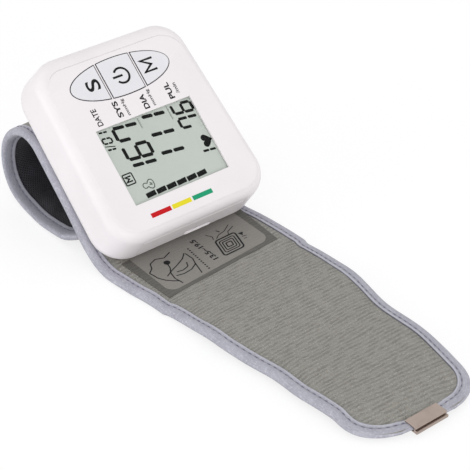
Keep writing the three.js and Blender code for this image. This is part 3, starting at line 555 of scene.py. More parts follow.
@dataclass(frozen=True)
class SpacerMesh(Finish):
    """Near-black spacer mesh: slanting rows of small holes between paler threads, a little rubbed."""

    colour: str = "#29282d"
    hole: str = "#0c0c0f"
    rubbed: str = "#3f3e45"
    lint: str = "#4d4c54"
    pitch: float = 1.05

    def build(self) -> bpy.types.Material:
        """Make the material.

        Returns:
            The material.
        """
        web = Web(self.name)
        cloth = web.flat()
        along, across = web.part(cloth, 0), web.part(cloth, 1)
        first = (along + across * 0.55).wave(self.pitch)
        second = (along * 0.5 - across).wave(self.pitch * 0.92)
        threads = (1 - first * second).rise(0.25, 0.75)
        thread = web.grained(cloth, (2.6, 5.5, 1))
        worn = web.grained(cloth, (0.09, 0.12, 1), 4)
        base = web.blend(threads, tint(self.hole), tint(self.colour))
        pale = web.blend(worn.rise(0.42, 0.7, 0, 0.7) * threads, base, tint(self.rubbed))
        return web.dress(
            Base_Color=web.blend(thread.rise(0.45, 0.8, 0, 0.55) * threads, pale, tint(self.lint)),
            Roughness=0.78 + thread * 0.16,
            Normal=web.relief(threads * 0.8 + thread * 0.3, 0.3),
            Sheen_Weight=0.1,
            Sheen_Roughness=0.45,
            Specular_IOR_Level=0.3,
        )


@dataclass(frozen=True)
class WovenTape(Finish):
    """Soft blue-grey binding tape: a fine weave, painted shade in the seam's groove, a painted highlight on
    the raised strip beside it, and painted shade at its inner edge and over its lining side.

    The UV map's second number is the distance from the edge, below zero on the lining side.
    """

    colour: str = "#bfbfc9"
    # Where the seam's painted shade and the painted highlight beside it lie, as distances from the edge
    seam_at: float = 3.2
    ridge_at: float = 4.3
    weave: Point2 = (0.5, 0.55)

    def build(self) -> bpy.types.Material:
        """Make the material.

        Returns:
            The material.
        """
        web = Web(self.name)
        cloth = web.flat()
        along, across = web.part(cloth, 0), web.part(cloth, 1)
        inward = across.size()
        warp, weft = ((way * (math.tau / pitch)).sine() for way, pitch in zip((along, across), self.weave))
        weave = warp * weft * 0.5 + 0.5
        lint = web.grained(cloth, (1.1, 2.4, 1), 4, 0.62)
        drift = web.grained(cloth, (0.14, 0.3, 1))
        streak = web.grained(cloth, (0.35, 4.5, 1), 2)
        # Painted shade in the stitched seam's groove
        seam = (inward - self.seam_at + (lint - 0.5) * 0.5).size().rise(0.1, 0.5, 1, 0)
        # Painted highlight on the raised strip between the seam and the inner edge
        ridge_highlight = (inward - self.ridge_at).size().rise(0.1, 0.4, 1, 0)
        # Painted shadow line at the inner edge, where the tape meets the fabric, and painted shade over the
        # lining side
        fold = inward.rise(4.6, 4.85) + across.rise(-0.9, 0.1, 0.5, 0) * 0.9
        layers = (
            (drift.rise(0.3, 0.72), "#b0b0bb"),
            ((1 - weave) * 0.28 + streak.rise(0.35, 0.7, 0, 0.3), "#817f8d"),
            (lint.rise(0.48, 0.72, 0, 0.7), "#d2d2da"),
            # The last three layers are a painted highlight and painted shade, not the tape's own colours
            (ridge_highlight * 0.6, "#c6c6d0"),
            (seam * 0.45, "#74737f"),
            (fold.most(0.0), "#64646f"),
        )
        shown: Strand | Colour = tint(self.colour)
        for share, code in layers:
            shown = web.blend(share, shown, tint(code))
        return web.dress(
            Base_Color=shown,
            Roughness=0.74 + lint * 0.18,
            Normal=web.relief(weave * 0.4 + lint * 0.8, 0.12),
            Sheen_Weight=0.12,
            Sheen_Roughness=0.4,
            Specular_IOR_Level=0.3,
        )


@dataclass(frozen=True)
class PrintedFilm(Finish):
    """A panel printed on the fabric: the cloth's ribs still show faintly through it, as bumps and as painted
    shade in their hollows.
    """

    colour: str = "#8a8a84"
    rib: float = 0.8
    pitch: float = 1.7

    def build(self) -> bpy.types.Material:
        """Make the material.

        Returns:
            The material.
        """
        web = Web(self.name)
        place = web.place()
        bent = web.grained(place, (300, 160, 160))
        along = web.part(place, 0) + (bent - 0.5) * (2 * self.pitch * MM)
        rib = along.wave(self.pitch * MM)
        lint = web.grained(place, (2100, 1300, 1300), 3, 0.6)
        base = tint(self.colour)
        # Painted shade in the rib hollows, plus a random darker speckle where the lint is thin
        hollow = (1 - rib) * (0.5 * self.rib) + (1 - lint).rise(0.4, 0.8, 0, 0.4)
        shaded = web.blend(hollow, base, toned(base, 0.72))
        return web.dress(
            Base_Color=web.blend(lint.rise(0.55, 0.85, 0, 0.5), shaded, toned(base, 1.3)),
            Roughness=0.6 + lint * 0.2,
            Normal=web.relief(rib * (0.4 * self.rib) + lint * 0.5, 0.12),
            Specular_IOR_Level=0.3,
        )


@dataclass(frozen=True)
class Palette:
    """Every finish of the monitor."""

    white: Finish = Moulded("white_moulding")
    overlay: Finish = Moulded("face_film", "#f2edef", 0.36, 0.3, 0.003, 0.012)
    key: Finish = Moulded("key_moulding", "#e9e8ec", 0.46, 0.4, 0.005, 0.02)
    # Painted shadow: the dark finish of the line that fills the gap round each key
    gap: Finish = Ink("painted_key_gap_shadow", "#2e2d31", 0.6)
    pane: Finish = Pane("window_pane")
    crystal: Finish = CrystalGlass("crystal_glass")
    segment: Finish = Ink("segment_black", "#080a09", 0.4)
    faint: Finish = Ink("segment_faint", "#8f978f", 0.4)
    fine: Finish = Ink("segment_fine", "#3c423d", 0.4)
    ink: Finish = Ink("print_black", "#161618")
    soft_ink: Finish = Ink("print_grey", "#48474b")
    red: Finish = Ink("scale_red", "#c4141c")
    yellow: Finish = Ink("scale_yellow", "#e6d92e")
    green: Finish = Ink("scale_green", "#1f9a70")
    grey: Finish = Moulded("grey_moulding", "#55585c", 0.5)
    black: Finish = Moulded("black_moulding", "#1e1e20", 0.45)
    rubber: Finish = Moulded("black_rubber_skin", "#2c2c2e", 0.8, 0.6, 0.012, 0.05)
    board: Finish = Laminate("board_laminate")
    steel: Finish = Metal("plated_steel")
    clip: Finish = Metal("clip_steel", "#ae9f96", 0.3, (3200.0, 260.0, 3200.0))
    brass: Finish = Metal("contact_brass", "#c9a85a", 0.34)
    cell: Finish = Moulded("cell_sleeve", "#4b6d8c", 0.3, 0.5, 0.003, 0.03, 0.4)
    hose: Finish = Moulded("hose_wall", "#d8d6cf", 0.55, 0.5, 0.006)
    sheet: Finish = Moulded("curl_plastic", "#d9d9d6", 0.5)
    loop: Finish = LoopPile("loop_pile")
    lining: Finish = SpacerMesh("spacer_mesh")
    tape: Finish = WovenTape("woven_tape")
    thread: Finish = Moulded("sewing_thread", "#6f6e7e", 0.75, 0.2, 0.02, 0.08)
    bladder: Finish = Moulded("bladder_rubber", "#3a3a3d", 0.7, 1.2, 0.03, 0.05)
    hook: Finish = Moulded("hook_nylon", "#3a3a3e", 0.5, 0.4, 0.006)
    band: Finish = PrintedFilm("label_band", "#6b6964", 1.3)
    panel: Finish = PrintedFilm("label_panel", "#8f8c87", 0.35)
    label_ink: Finish = Ink("label_black", "#232325", 0.6)


FINISH = Palette()


# Mesh tools


def placed(name: str, data: bpy.types.ID) -> Piece:
    """Put data into the scene as a new object.

    Args:
        name: The piece's name.
        data: The mesh, curve, light or camera.

    Returns:
        The new object.
    """
    piece = bpy.data.objects.new(name, data)
    bpy.context.scene.collection.objects.link(piece)
    return piece


def around(steps: int) -> list[float]:
    """Return evenly spaced angles of a full turn."""
    return [math.tau * k / steps for k in range(steps)]


def quarter(steps: int) -> list[float]:
    """Return evenly spaced angles from 0 to a quarter turn."""
    return [k / steps * math.pi / 2 for k in range(steps + 1)]


def ring(outline: Iterable[Point2], z: float) -> list[Vector]:
    """Lift an outline to a height."""
    return [Vector((x, y, z)) for x, y in outline]


def mesh_object(name: str, points: Iterable[Vector], faces: Iterable[Sequence[int]]) -> Piece:
    """Make a closed mesh in the scene with its faces turned outwards.

    Args:
        name: The piece's name.
        points: Its corners.
        faces: Its faces by the indices of their corners.

    Returns:
        The new object.
    """
    mesh = bpy.data.meshes.new(name)
    mesh.from_pydata([tuple(p) for p in points], [], [list(f) for f in faces])
    shape = bmesh.new()
    shape.from_mesh(mesh)
    bmesh.ops.remove_doubles(shape, verts=shape.verts, dist=WELD)
    bmesh.ops.recalc_face_normals(shape, faces=shape.faces)
    shape.to_mesh(mesh)
    shape.free()
    return placed(name, mesh)


def skin(first: int, rows: int, count: int, closed: bool = False) -> list[Sequence[int]]:
    """List the faces over rings of points that follow each other.

    Args:
        first: The index of the first ring's first point.
        rows: How many rings there are.
        count: How many points each ring has.
        closed: Whether the last ring joins the first.

    Returns:
        The faces, with flat ends where the rings aren't closed.
    """
    faces: list[Sequence[int]] = []
    for level in range(rows if closed else rows - 1):
        low, high = first + level * count, first + (level + 1) % rows * count
        for k in range(count):
            turn = (k + 1) % count
            faces.append((low + k, low + turn, high + turn, high + k))
    if not closed:
        last = first + (rows - 1) * count
        faces.append(tuple(reversed(range(first, first + count))))
        faces.append(tuple(range(last, last + count)))
    return faces


def loft(name: str, rings: Rings, closed: bool = False) -> Piece:
    """Skin rings of equal length.

    Args:
        name: The piece's name.
        rings: The rings in order.
        closed: Whether the last ring joins the first, as on a ring-shaped piece.

    Returns:
        The new object, with flat ends where it isn't closed.
    """
    faces = skin(0, len(rings), len(rings[0]), closed)
    return mesh_object(name, [point for line in rings for point in line], faces)


def prism(name: str, outline: Sequence[Point2], low: float, high: float) -> Piece:
    """Raise an outline from one height to another."""
    return loft(name, [ring(outline, z) for z in (low, high)])


def box(name: str, x: Point2, y: Point2, z: Point2) -> Piece:
    """Make a block from its ranges."""
    return prism(name, [(x[0], y[0]), (x[1], y[0]), (x[1], y[1]), (x[0], y[1])], *z)


def points_object(
    name: str, points: Sequence[Vector], edges: Sequence[tuple[int, int]] = ()
) -> Piece:
    """Make a mesh of points and edges only, on which a pattern grows.

    Args:
        name: The piece's name.
        points: Its points, in metres.
        edges: Its edges by the indices of their points.

    Returns:
        The new object.
    """
    mesh = bpy.data.meshes.new(name)
    mesh.from_pydata([tuple(p) for p in points], list(edges), [])
    return placed(name, mesh)


def baked(piece: Piece) -> Piece:
    """Replace an object's mesh by its evaluated one and drop its modifiers.

    Args:
        piece: The object.

    Returns:
        The same object.
    """
    bpy.context.view_layer.update()
    mesh = bpy.data.meshes.new_from_object(piece.evaluated_get(bpy.context.evaluated_depsgraph_get()))
    piece.modifiers.clear()
    piece.data = mesh
    return piece


def carve(piece: Piece, *cutters: Piece, mode: str = "DIFFERENCE") -> Piece:
    """Cut one piece by others, which are used up.

    Args:
        piece: The piece.
        cutters: The pieces it is cut by.
        mode: How they are taken together.

    Returns:
        The piece.
    """
    for cutter in cutters:
        step = piece.modifiers.new("cut", "BOOLEAN")
        step.operation = mode
        step.solver = "EXACT"
        step.object = cutter
    baked(piece)
    for cutter in cutters:
        bpy.data.objects.remove(cutter)
    return piece


def soften(piece: Piece, width: float, segments: int = 2, angle: float = 40) -> Piece:
    """Round a piece's sharp edges.

    Args:
        piece: The piece.
        width: The rounding's width.
        segments: Its number of faces.
        angle: The least angle of an edge that is rounded, in degrees.

    Returns:
        The piece.
    """
    step = piece.modifiers.new("edge", "BEVEL")
    step.width = width
    step.segments = segments
    step.limit_method = "ANGLE"
    step.angle_limit = math.radians(angle)
    step.harden_normals = False
    return baked(piece)


def smooth(piece: Piece, angle: float = 35, weigh: bool = True) -> Piece:
    """Shade a piece smoothly apart from its sharp edges, with flat faces kept flat.

    Args:
        piece: The piece.
        angle: The least angle of an edge that stays sharp, in degrees.
        weigh: Whether large faces steer the shading.

    Returns:
        The piece.
    """
    piece.data.shade_smooth()
    piece.data.set_sharp_from_angle(angle=math.radians(angle))
    if weigh:
        step = piece.modifiers.new("normals", "WEIGHTED_NORMAL")
        step.keep_sharp = True
        baked(piece)
    return piece


def settle(
    piece: Piece, place: Matrix, body: Body, finish: Finish, slot: Slot, *nodes: str
) -> Piece:
    """Bring a rigid piece to its place, dress it and hand it to its body.

    Args:
        piece: The piece, in its own frame and in millimetres.
        place: The matrix from that frame to the world, in metres.
        body: The body it rides on.
        finish: Its finish.
        slot: Not used.
        nodes: The CAD nodes it stands for.

    Returns:
        The piece.
    """
    piece.data.transform(place)
    piece.data.materials.clear()
    piece.data.materials.append(finish.material())
    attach(piece, body.value)
    if nodes:
        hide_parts(*nodes)
    LOG.info("%s rides on %s, %d faces", piece.name, body.value, len(piece.data.polygons))
    return piece


def ease(share: float) -> float:
    """Go smoothly from 0 to 1, and stay there outside."""
    share = min(max(share, 0.0), 1.0)
    return share * share * (3 - 2 * share)


def over(value: float, stretch: Point2) -> float:
    """Go smoothly from 0 to 1 over a stretch, given by its start and its length."""
    return ease((value - stretch[0]) / stretch[1])


def bump(value: float, middle: float, spread: float) -> float:
    """Return a soft bump that is 1 where the value is at its middle."""
    return math.exp(-((value - middle) ** 2) / spread)


def rounded(
    half_x: float, half_y: float, radius: float, steps: int = 16, middle: float = 0.0
) -> list[Point2]:
    """Draw a rectangle with rounded corners.

    Args:
        half_x: Its half length along x.
        half_y: Its half length along y.
        radius: Its corners' radius.
        steps: The number of short lines in each corner.
        middle: The x of its middle.

    Returns:
        The outline.
    """
    outline = []
    for quarter, (sx, sy) in enumerate(((1, 1), (-1, 1), (-1, -1), (1, -1))):
        for k in range(steps + 1):
            angle = (quarter + k / steps) * math.pi / 2
            x = middle + sx * (half_x - radius) + radius * math.cos(angle)
            outline.append((x, sy * (half_y - radius) + radius * math.sin(angle)))
    return outline


def tube(name: str, radii: Point2, low: float, high: float, at: Point2) -> Piece:
    """Make a short upright tube.

    Args:
        name: The piece's name.
        radii: Its outer and inner radius.
        low: The height of its lower end.
        high: The height of its upper end.
        at: The place of its middle.

    Returns:
        The new object.
    """
    (radius, inner), (x, y) = radii, at
    rings = [
        [Vector((x + r * math.cos(a), y + r * math.sin(a), z)) for a in around(ROUND_STEPS)]
        for r, z in ((radius, low), (radius, high), (inner, high), (inner, low))
    ]
    return loft(name, rings, closed=True)


def turned(name: str, profile: Sequence[Point2], steps: int = 48) -> Piece:
    """Turn a profile of radius and height about the z axis, with both ends closed."""
    turn = [(math.cos(a), math.sin(a)) for a in around(steps)]
    return loft(name, [ring([(r * c, r * s) for c, s in turn], z) for r, z in profile])


class Drawing:
    """Flat marks in a plane, which become one thin plate."""

    def __init__(self) -> None:
        """Start with no marks."""
        self.areas: list[list[Point2]] = []

    def area(self, outline: Sequence[Point2]) -> "Drawing":
        """Add a filled outline."""
        self.areas.append(list(outline))
        return self

    def disc(self, x: float, y: float, radius: float, steps: int = 20) -> "Drawing":
        """Add a filled disc."""
        return self.area([(x + radius * math.cos(a), y + radius * math.sin(a)) for a in around(steps)])

    def stroke(self, line: Sequence[Point2], width: float, closed: bool = False) -> "Drawing":
        """Add a line of even width.

        Args:
            line: The points of its middle line.
            width: Its width.
            closed: Whether its ends meet.

        Returns:
            The drawing.
        """
        points = list(line) + ([line[0]] if closed else [])
        left, right = [], []
        last = len(points) - 1
        for k, (x, y) in enumerate(points):
            before = points[k - 1] if k else (points[-2] if closed else points[0])
            after = points[k + 1] if k < last else (points[1] if closed else points[last])
            one = Vector((x - before[0], y - before[1])).normalized()
            two = Vector((after[0] - x, after[1] - y)).normalized()
            way = (one + two).normalized()
            steady = max(abs(way.dot(two if two.length else one)), MITRE_LIMIT)
            out = Vector((-way.y, way.x)) * (width / 2 / steady)
            left.append((x + out.x, y + out.y))
            right.append((x - out.x, y - out.y))
        for k in range(last):
            self.areas.append([left[k], left[k + 1], right[k + 1], right[k]])
        return self

    def strokes(self, lines: Iterable[tuple[float, Sequence[Point2]]]) -> "Drawing":
        """Add several lines, each with its own width.

        Args:
            lines: Each line's width and points.

        Returns:
            The drawing.
        """
        for width, line in lines:
            self.stroke(line, width)
        return self

    def arc(
        self, x: float, y: float, radius: float, start: float, end: float, width: float, steps: int = 28
    ) -> "Drawing":
        """Add part of a ring.

        Args:
            x: The x of its middle.
            y: The y of its middle.
            radius: The radius of its middle line.
            start: The angle where it starts, in degrees.
            end: The angle where it ends, in degrees.
            width: The line's width.
            steps: The number of short lines in it.

        Returns:
            The drawing.
        """
        turn = [math.radians(start + (end - start) * k / steps) for k in range(steps + 1)]
        return self.stroke([(x + radius * math.cos(a), y + radius * math.sin(a)) for a in turn], width)

    def plate(self, name: str, low: float, high: float) -> Piece:
        """Raise all the marks into one thin plate.

        Args:
            name: The piece's name.
            low: The plate's lower height.
            high: Its upper height.

        Returns:
            The new object.
        """
        points: list[Vector] = []
        faces: list[Sequence[int]] = []
        for outline in self.areas:
            first, count = len(points), len(outline)
            points += ring(outline, low) + ring(outline, high)
            for a, b, c in geometry.tessellate_polygon([ring(outline, 0)]):
                faces.append((first + a, first + b, first + c))
                faces.append((first + count + a, first + count + c, first + count + b))
            for k in range(count):
                turn = (k + 1) % count
                faces.append((first + k, first + turn, first + count + turn, first + count + k))
        return mesh_object(name, points, faces)


def lettering(name: str, words: str, bold: float = 0.0) -> Piece:
    """Write words as a flat mesh, one unit high and wide, about its middle.

    Args:
        name: The piece's name.
        words: What is written.
        bold: How far the strokes grow.

    Returns:
        The new object.
    """
    curve = bpy.data.curves.new(name, "FONT")
    curve.body = words
    curve.size = 10
    curve.offset = bold
    curve.resolution_u = 6
    source = placed(name, curve)
    bpy.context.view_layer.update()
    mesh = bpy.data.meshes.new_from_object(source.evaluated_get(bpy.context.evaluated_depsgraph_get()))
    bpy.data.objects.remove(source)
    xs = [v.co.x for v in mesh.vertices]
    ys = [v.co.y for v in mesh.vertices]
    middle = Vector(((min(xs) + max(xs)) / 2, (min(ys) + max(ys)) / 2, 0))
    shrink = Matrix.Diagonal((1 / (max(xs) - min(xs)), 1 / (max(ys) - min(ys)), 1, 1))
    mesh.transform(shrink @ Matrix.Translation(-middle))
    return placed(name, mesh)


def joined(name: str, pieces: Sequence[Piece]) -> Piece:
    """Join several meshes into one piece.

    Args:
        name: The piece's name.
        pieces: The pieces, which are used up.

    Returns:
        The new object.
    """
    shape = bmesh.new()
    for piece in pieces:
        shape.from_mesh(piece.data)
    mesh = bpy.data.meshes.new(name)
    shape.to_mesh(mesh)
    shape.free()
    for piece in pieces:
        bpy.data.objects.remove(piece)
    return placed(name, mesh)


def thicken(piece: Piece, low: float, high: float) -> Piece:
    """Give a flat mesh at height 0 a thickness from one height to another.

    Args:
        piece: The flat piece.
        low: Its new lower height.
        high: Its new upper height.

    Returns:
        The piece.
    """
    shape = bmesh.new()
    shape.from_mesh(piece.data)
    bmesh.ops.remove_doubles(shape, verts=shape.verts, dist=1e-5)
    bmesh.ops.recalc_face_normals(shape, faces=shape.faces)
    for vert in shape.verts:
        vert.co.z = low
    grown = bmesh.ops.extrude_face_region(shape, geom=shape.faces[:], use_keep_orig=True)
    for item in grown["geom"]:
        if isinstance(item, bmesh.types.BMVert):
            item.co.z = high
    bmesh.ops.recalc_face_normals(shape, faces=shape.faces)
    shape.to_mesh(piece.data)
    shape.free()
    return piece


def written(
    name: str, words: str, x: float, y: float, wide: float, high: float, bold: float, level: Point2
) -> Piece:
    """Write words as a thin plate that reads towards lower x, with its top towards lower y.

    Args:
        name: The piece's name.
        words: What is written.
        x: The x of the middle.
        y: The y of the middle.
        wide: The size along x.
        high: The size along y.
        bold: How far the strokes grow.
        level: The plate's lower and upper height.

    Returns:
        The plate.
    """
    piece = thicken(lettering(name, words, bold), *level)
    piece.data.transform(Matrix.Translation((x, y, 0)) @ Matrix.Diagonal((-wide, -high, 1, 1)))
    return piece


class PatternTree:
    """A Geometry Nodes tree with named inputs, which dresses one carrier mesh.

    Args:
        name: The tree's name.
        sizes: Its number inputs by name, with their values.
    """

    def __init__(self, name: str, sizes: dict[str, float]) -> None:
        """Make the tree's inputs and output.

        Args:
            name: The tree's name.
            sizes: Its number inputs by name, with their values.
        """
        self.tree = bpy.data.node_groups.new(name, "GeometryNodeTree")
        face = self.tree.interface
        face.new_socket(name="Geometry", in_out="INPUT", socket_type="NodeSocketGeometry")
        face.new_socket(name="Geometry", in_out="OUTPUT", socket_type="NodeSocketGeometry")
        self.sizes = sizes
        self.keys = {
            size: face.new_socket(name=size, in_out="INPUT", socket_type="NodeSocketFloat").identifier
            for size in sizes
        }
        self.start = self.tree.nodes.new("NodeGroupInput")
        self.end = self.tree.nodes.new("NodeGroupOutput")

    def size(self, name: str) -> bpy.types.NodeSocket:
        """Return the socket of a named input."""
        return self.start.outputs[name]

    def node(
        self, kind: str, settings: Optional[dict] = None, values: Optional[dict] = None
    ) -> bpy.types.Node:
        """Add one node, set its properties, then its inputs' values or links.

        Args:
            kind: The node's type.
            settings: Its properties.
            values: Numbers, nodes or sockets by the name or index of an input.

        Returns:
            The node.
        """
        node = self.tree.nodes.new(kind)
        for name, value in (settings or {}).items():
            setattr(node, name, value)
        for key, value in (values or {}).items():
            if isinstance(value, bpy.types.Node):
                self.tree.links.new(value.outputs[0], node.inputs[key])
            elif isinstance(value, bpy.types.NodeSocket):
                self.tree.links.new(value, node.inputs[key])
            else:
                node.inputs[key].default_value = value
        return node

    def lengths(self, *names: str) -> bpy.types.Node:
        """Join three named inputs into one vector."""
        return self.node("ShaderNodeCombineXYZ", None, {k: self.size(name) for k, name in enumerate(names)})

    def scaled(self, shape: bpy.types.Node, *names: str) -> bpy.types.Node:
        """Scale a shape by three named inputs."""
        return self.node("GeometryNodeTransform", None, {0: shape, "Scale": self.lengths(*names)})

    def run(self, carrier: Piece, instances: bpy.types.Node, finish: Finish) -> Piece:
        """End the tree, run it on a carrier and keep the plain mesh.

        Args:
            carrier: The object it runs on.
            instances: The node whose instances are kept.
            finish: Their finish.

        Returns:
            The carrier with its new mesh.
        """
        real = self.node("GeometryNodeRealizeInstances", None, {0: instances})
        even = self.node("GeometryNodeSetShadeSmooth", None, {0: real})
        dressed = self.node("GeometryNodeSetMaterial", None, {0: even, "Material": finish.material()})
        self.tree.links.new(dressed.outputs[0], self.end.inputs[0])
        step = carrier.modifiers.new("pattern", "NODES")
        step.node_group = self.tree
        for name, key in self.keys.items():
            step[key] = float(self.sizes[name])
        return baked(carrier)


# The stage


@dataclass
class Studio:
    """The camera, a white floor and soft light."""

    eye: Point3 = (376.24, -293.35, 346.57)
    right: Point3 = (0.6221, 0.7829, 0.0)
    up: Point3 = (-0.4442, 0.3530, 0.8234)
    back: Point3 = (0.6447, -0.5122, 0.5674)
    focal: float = 1562.0  # in units of which the frame is frame_width wide
    frame_width: float = 470.0
    sensor: float = 36.0
    sky: float = 0.81
    floor_half: float = 4.0
    floor_lit: Colour = (0.92, 0.92, 0.93, 1)
    floor_shown: Colour = (0.24, 0.24, 0.244, 1)
    floor_glow: float = 0.785
    lamps: tuple[tuple[str, Point3, float, float], ...] = (
        ("key_lamp", (-0.5, -0.35, 1.25), 0.8, 1.0),
        ("fill_lamp", (1.1, -0.35, 0.14), 0.8, 4.9),
        ("side_lamp", (-0.35, -1.2, 0.2), 0.8, 3.0),
    )

    def camera(self) -> None:
        """Set up the photograph's camera."""
        lens = bpy.data.cameras.new("camera")
        lens.sensor_fit = "HORIZONTAL"
        lens.sensor_width = self.sensor
        lens.lens = self.focal / self.frame_width * self.sensor
        lens.clip_start = 0.01
        lens.clip_end = 50
        view = placed("camera", lens)
        turn = Matrix((self.right, self.up, self.back)).transposed().to_4x4()
        view.matrix_world = Matrix.Translation(Vector(self.eye) * MM) @ turn
        bpy.context.scene.camera = view

    def lamp(self, name: str, at: Sequence[float], size: float, power: float) -> None:
        """Hang a soft square lamp that looks at the object.

        Args:
            name: The lamp's name.
            at: Its place, in metres.
            size: Its side, in metres.
            power: Its power, in watts.
        """
        light = bpy.data.lights.new(name, "AREA")
        light.size = size
        light.energy = power
        holder = placed(name, light)
        holder.location = at
        holder.rotation_euler = (-Vector(at)).to_track_quat("-Z", "Y").to_euler()

    def floor(self) -> None:
        """Lay a white floor that keeps the object's shadow."""
        half = self.floor_half
        corners = ring(((-half, -half), (half, -half), (half, half), (-half, half)), 0)
        ground = mesh_object("floor", corners, [(0, 1, 2, 3)])
        web = Web("floor_white")
        seen = web.node("ShaderNodeLightPath", output=0)
        glimpsed = web.node("ShaderNodeLightPath", output=3)
        shown = seen.most(glimpsed)
        web.dress(
            Base_Color=web.blend(shown, self.floor_lit, self.floor_shown),
            Roughness=0.9,
            Specular_IOR_Level=0.0,
            Emission_Color=web.blend(shown, (0, 0, 0, 1), WHITE),
            Emission_Strength=self.floor_glow,
        )
        ground.data.materials.append(web.material)

    def backdrop(self) -> None:
        """Light the scene evenly and show white behind it."""
        world = bpy.data.worlds.new("studio")
        bpy.context.scene.world = world
        world.use_nodes = True
        tree = world.node_tree
        tree.nodes.clear()
        path = tree.nodes.new("ShaderNodeLightPath")
        share = path.outputs["Is Camera Ray"]
        for ray in ("Is Glossy Ray", "Is Transmission Ray"):
            ways = tree.nodes.new("ShaderNodeMath")
            ways.operation = "MAXIMUM"
            tree.links.new(share, ways.inputs[0])
            tree.links.new(path.outputs[ray], ways.inputs[1])
            share = ways.outputs[0]
        mix = tree.nodes.new("ShaderNodeMixShader")
        tree.links.new(share, mix.inputs[0])
        for socket, strength in ((1, self.sky), (2, 1.0)):
            light = tree.nodes.new("ShaderNodeBackground")
            light.inputs["Color"].default_value = WHITE
            light.inputs["Strength"].default_value = strength
            tree.links.new(light.outputs[0], mix.inputs[socket])
        output = tree.nodes.new("ShaderNodeOutputWorld")
        tree.links.new(mix.outputs[0], output.inputs["Surface"])

    def build(self) -> None:
        """Set up all of the stage."""
        self.camera()
        self.floor()
        self.backdrop()
        for lamp in self.lamps:
            self.lamp(*lamp)
        bpy.context.scene.view_settings.view_transform = "Standard"
        LOG.info("stage is set")


# The housing


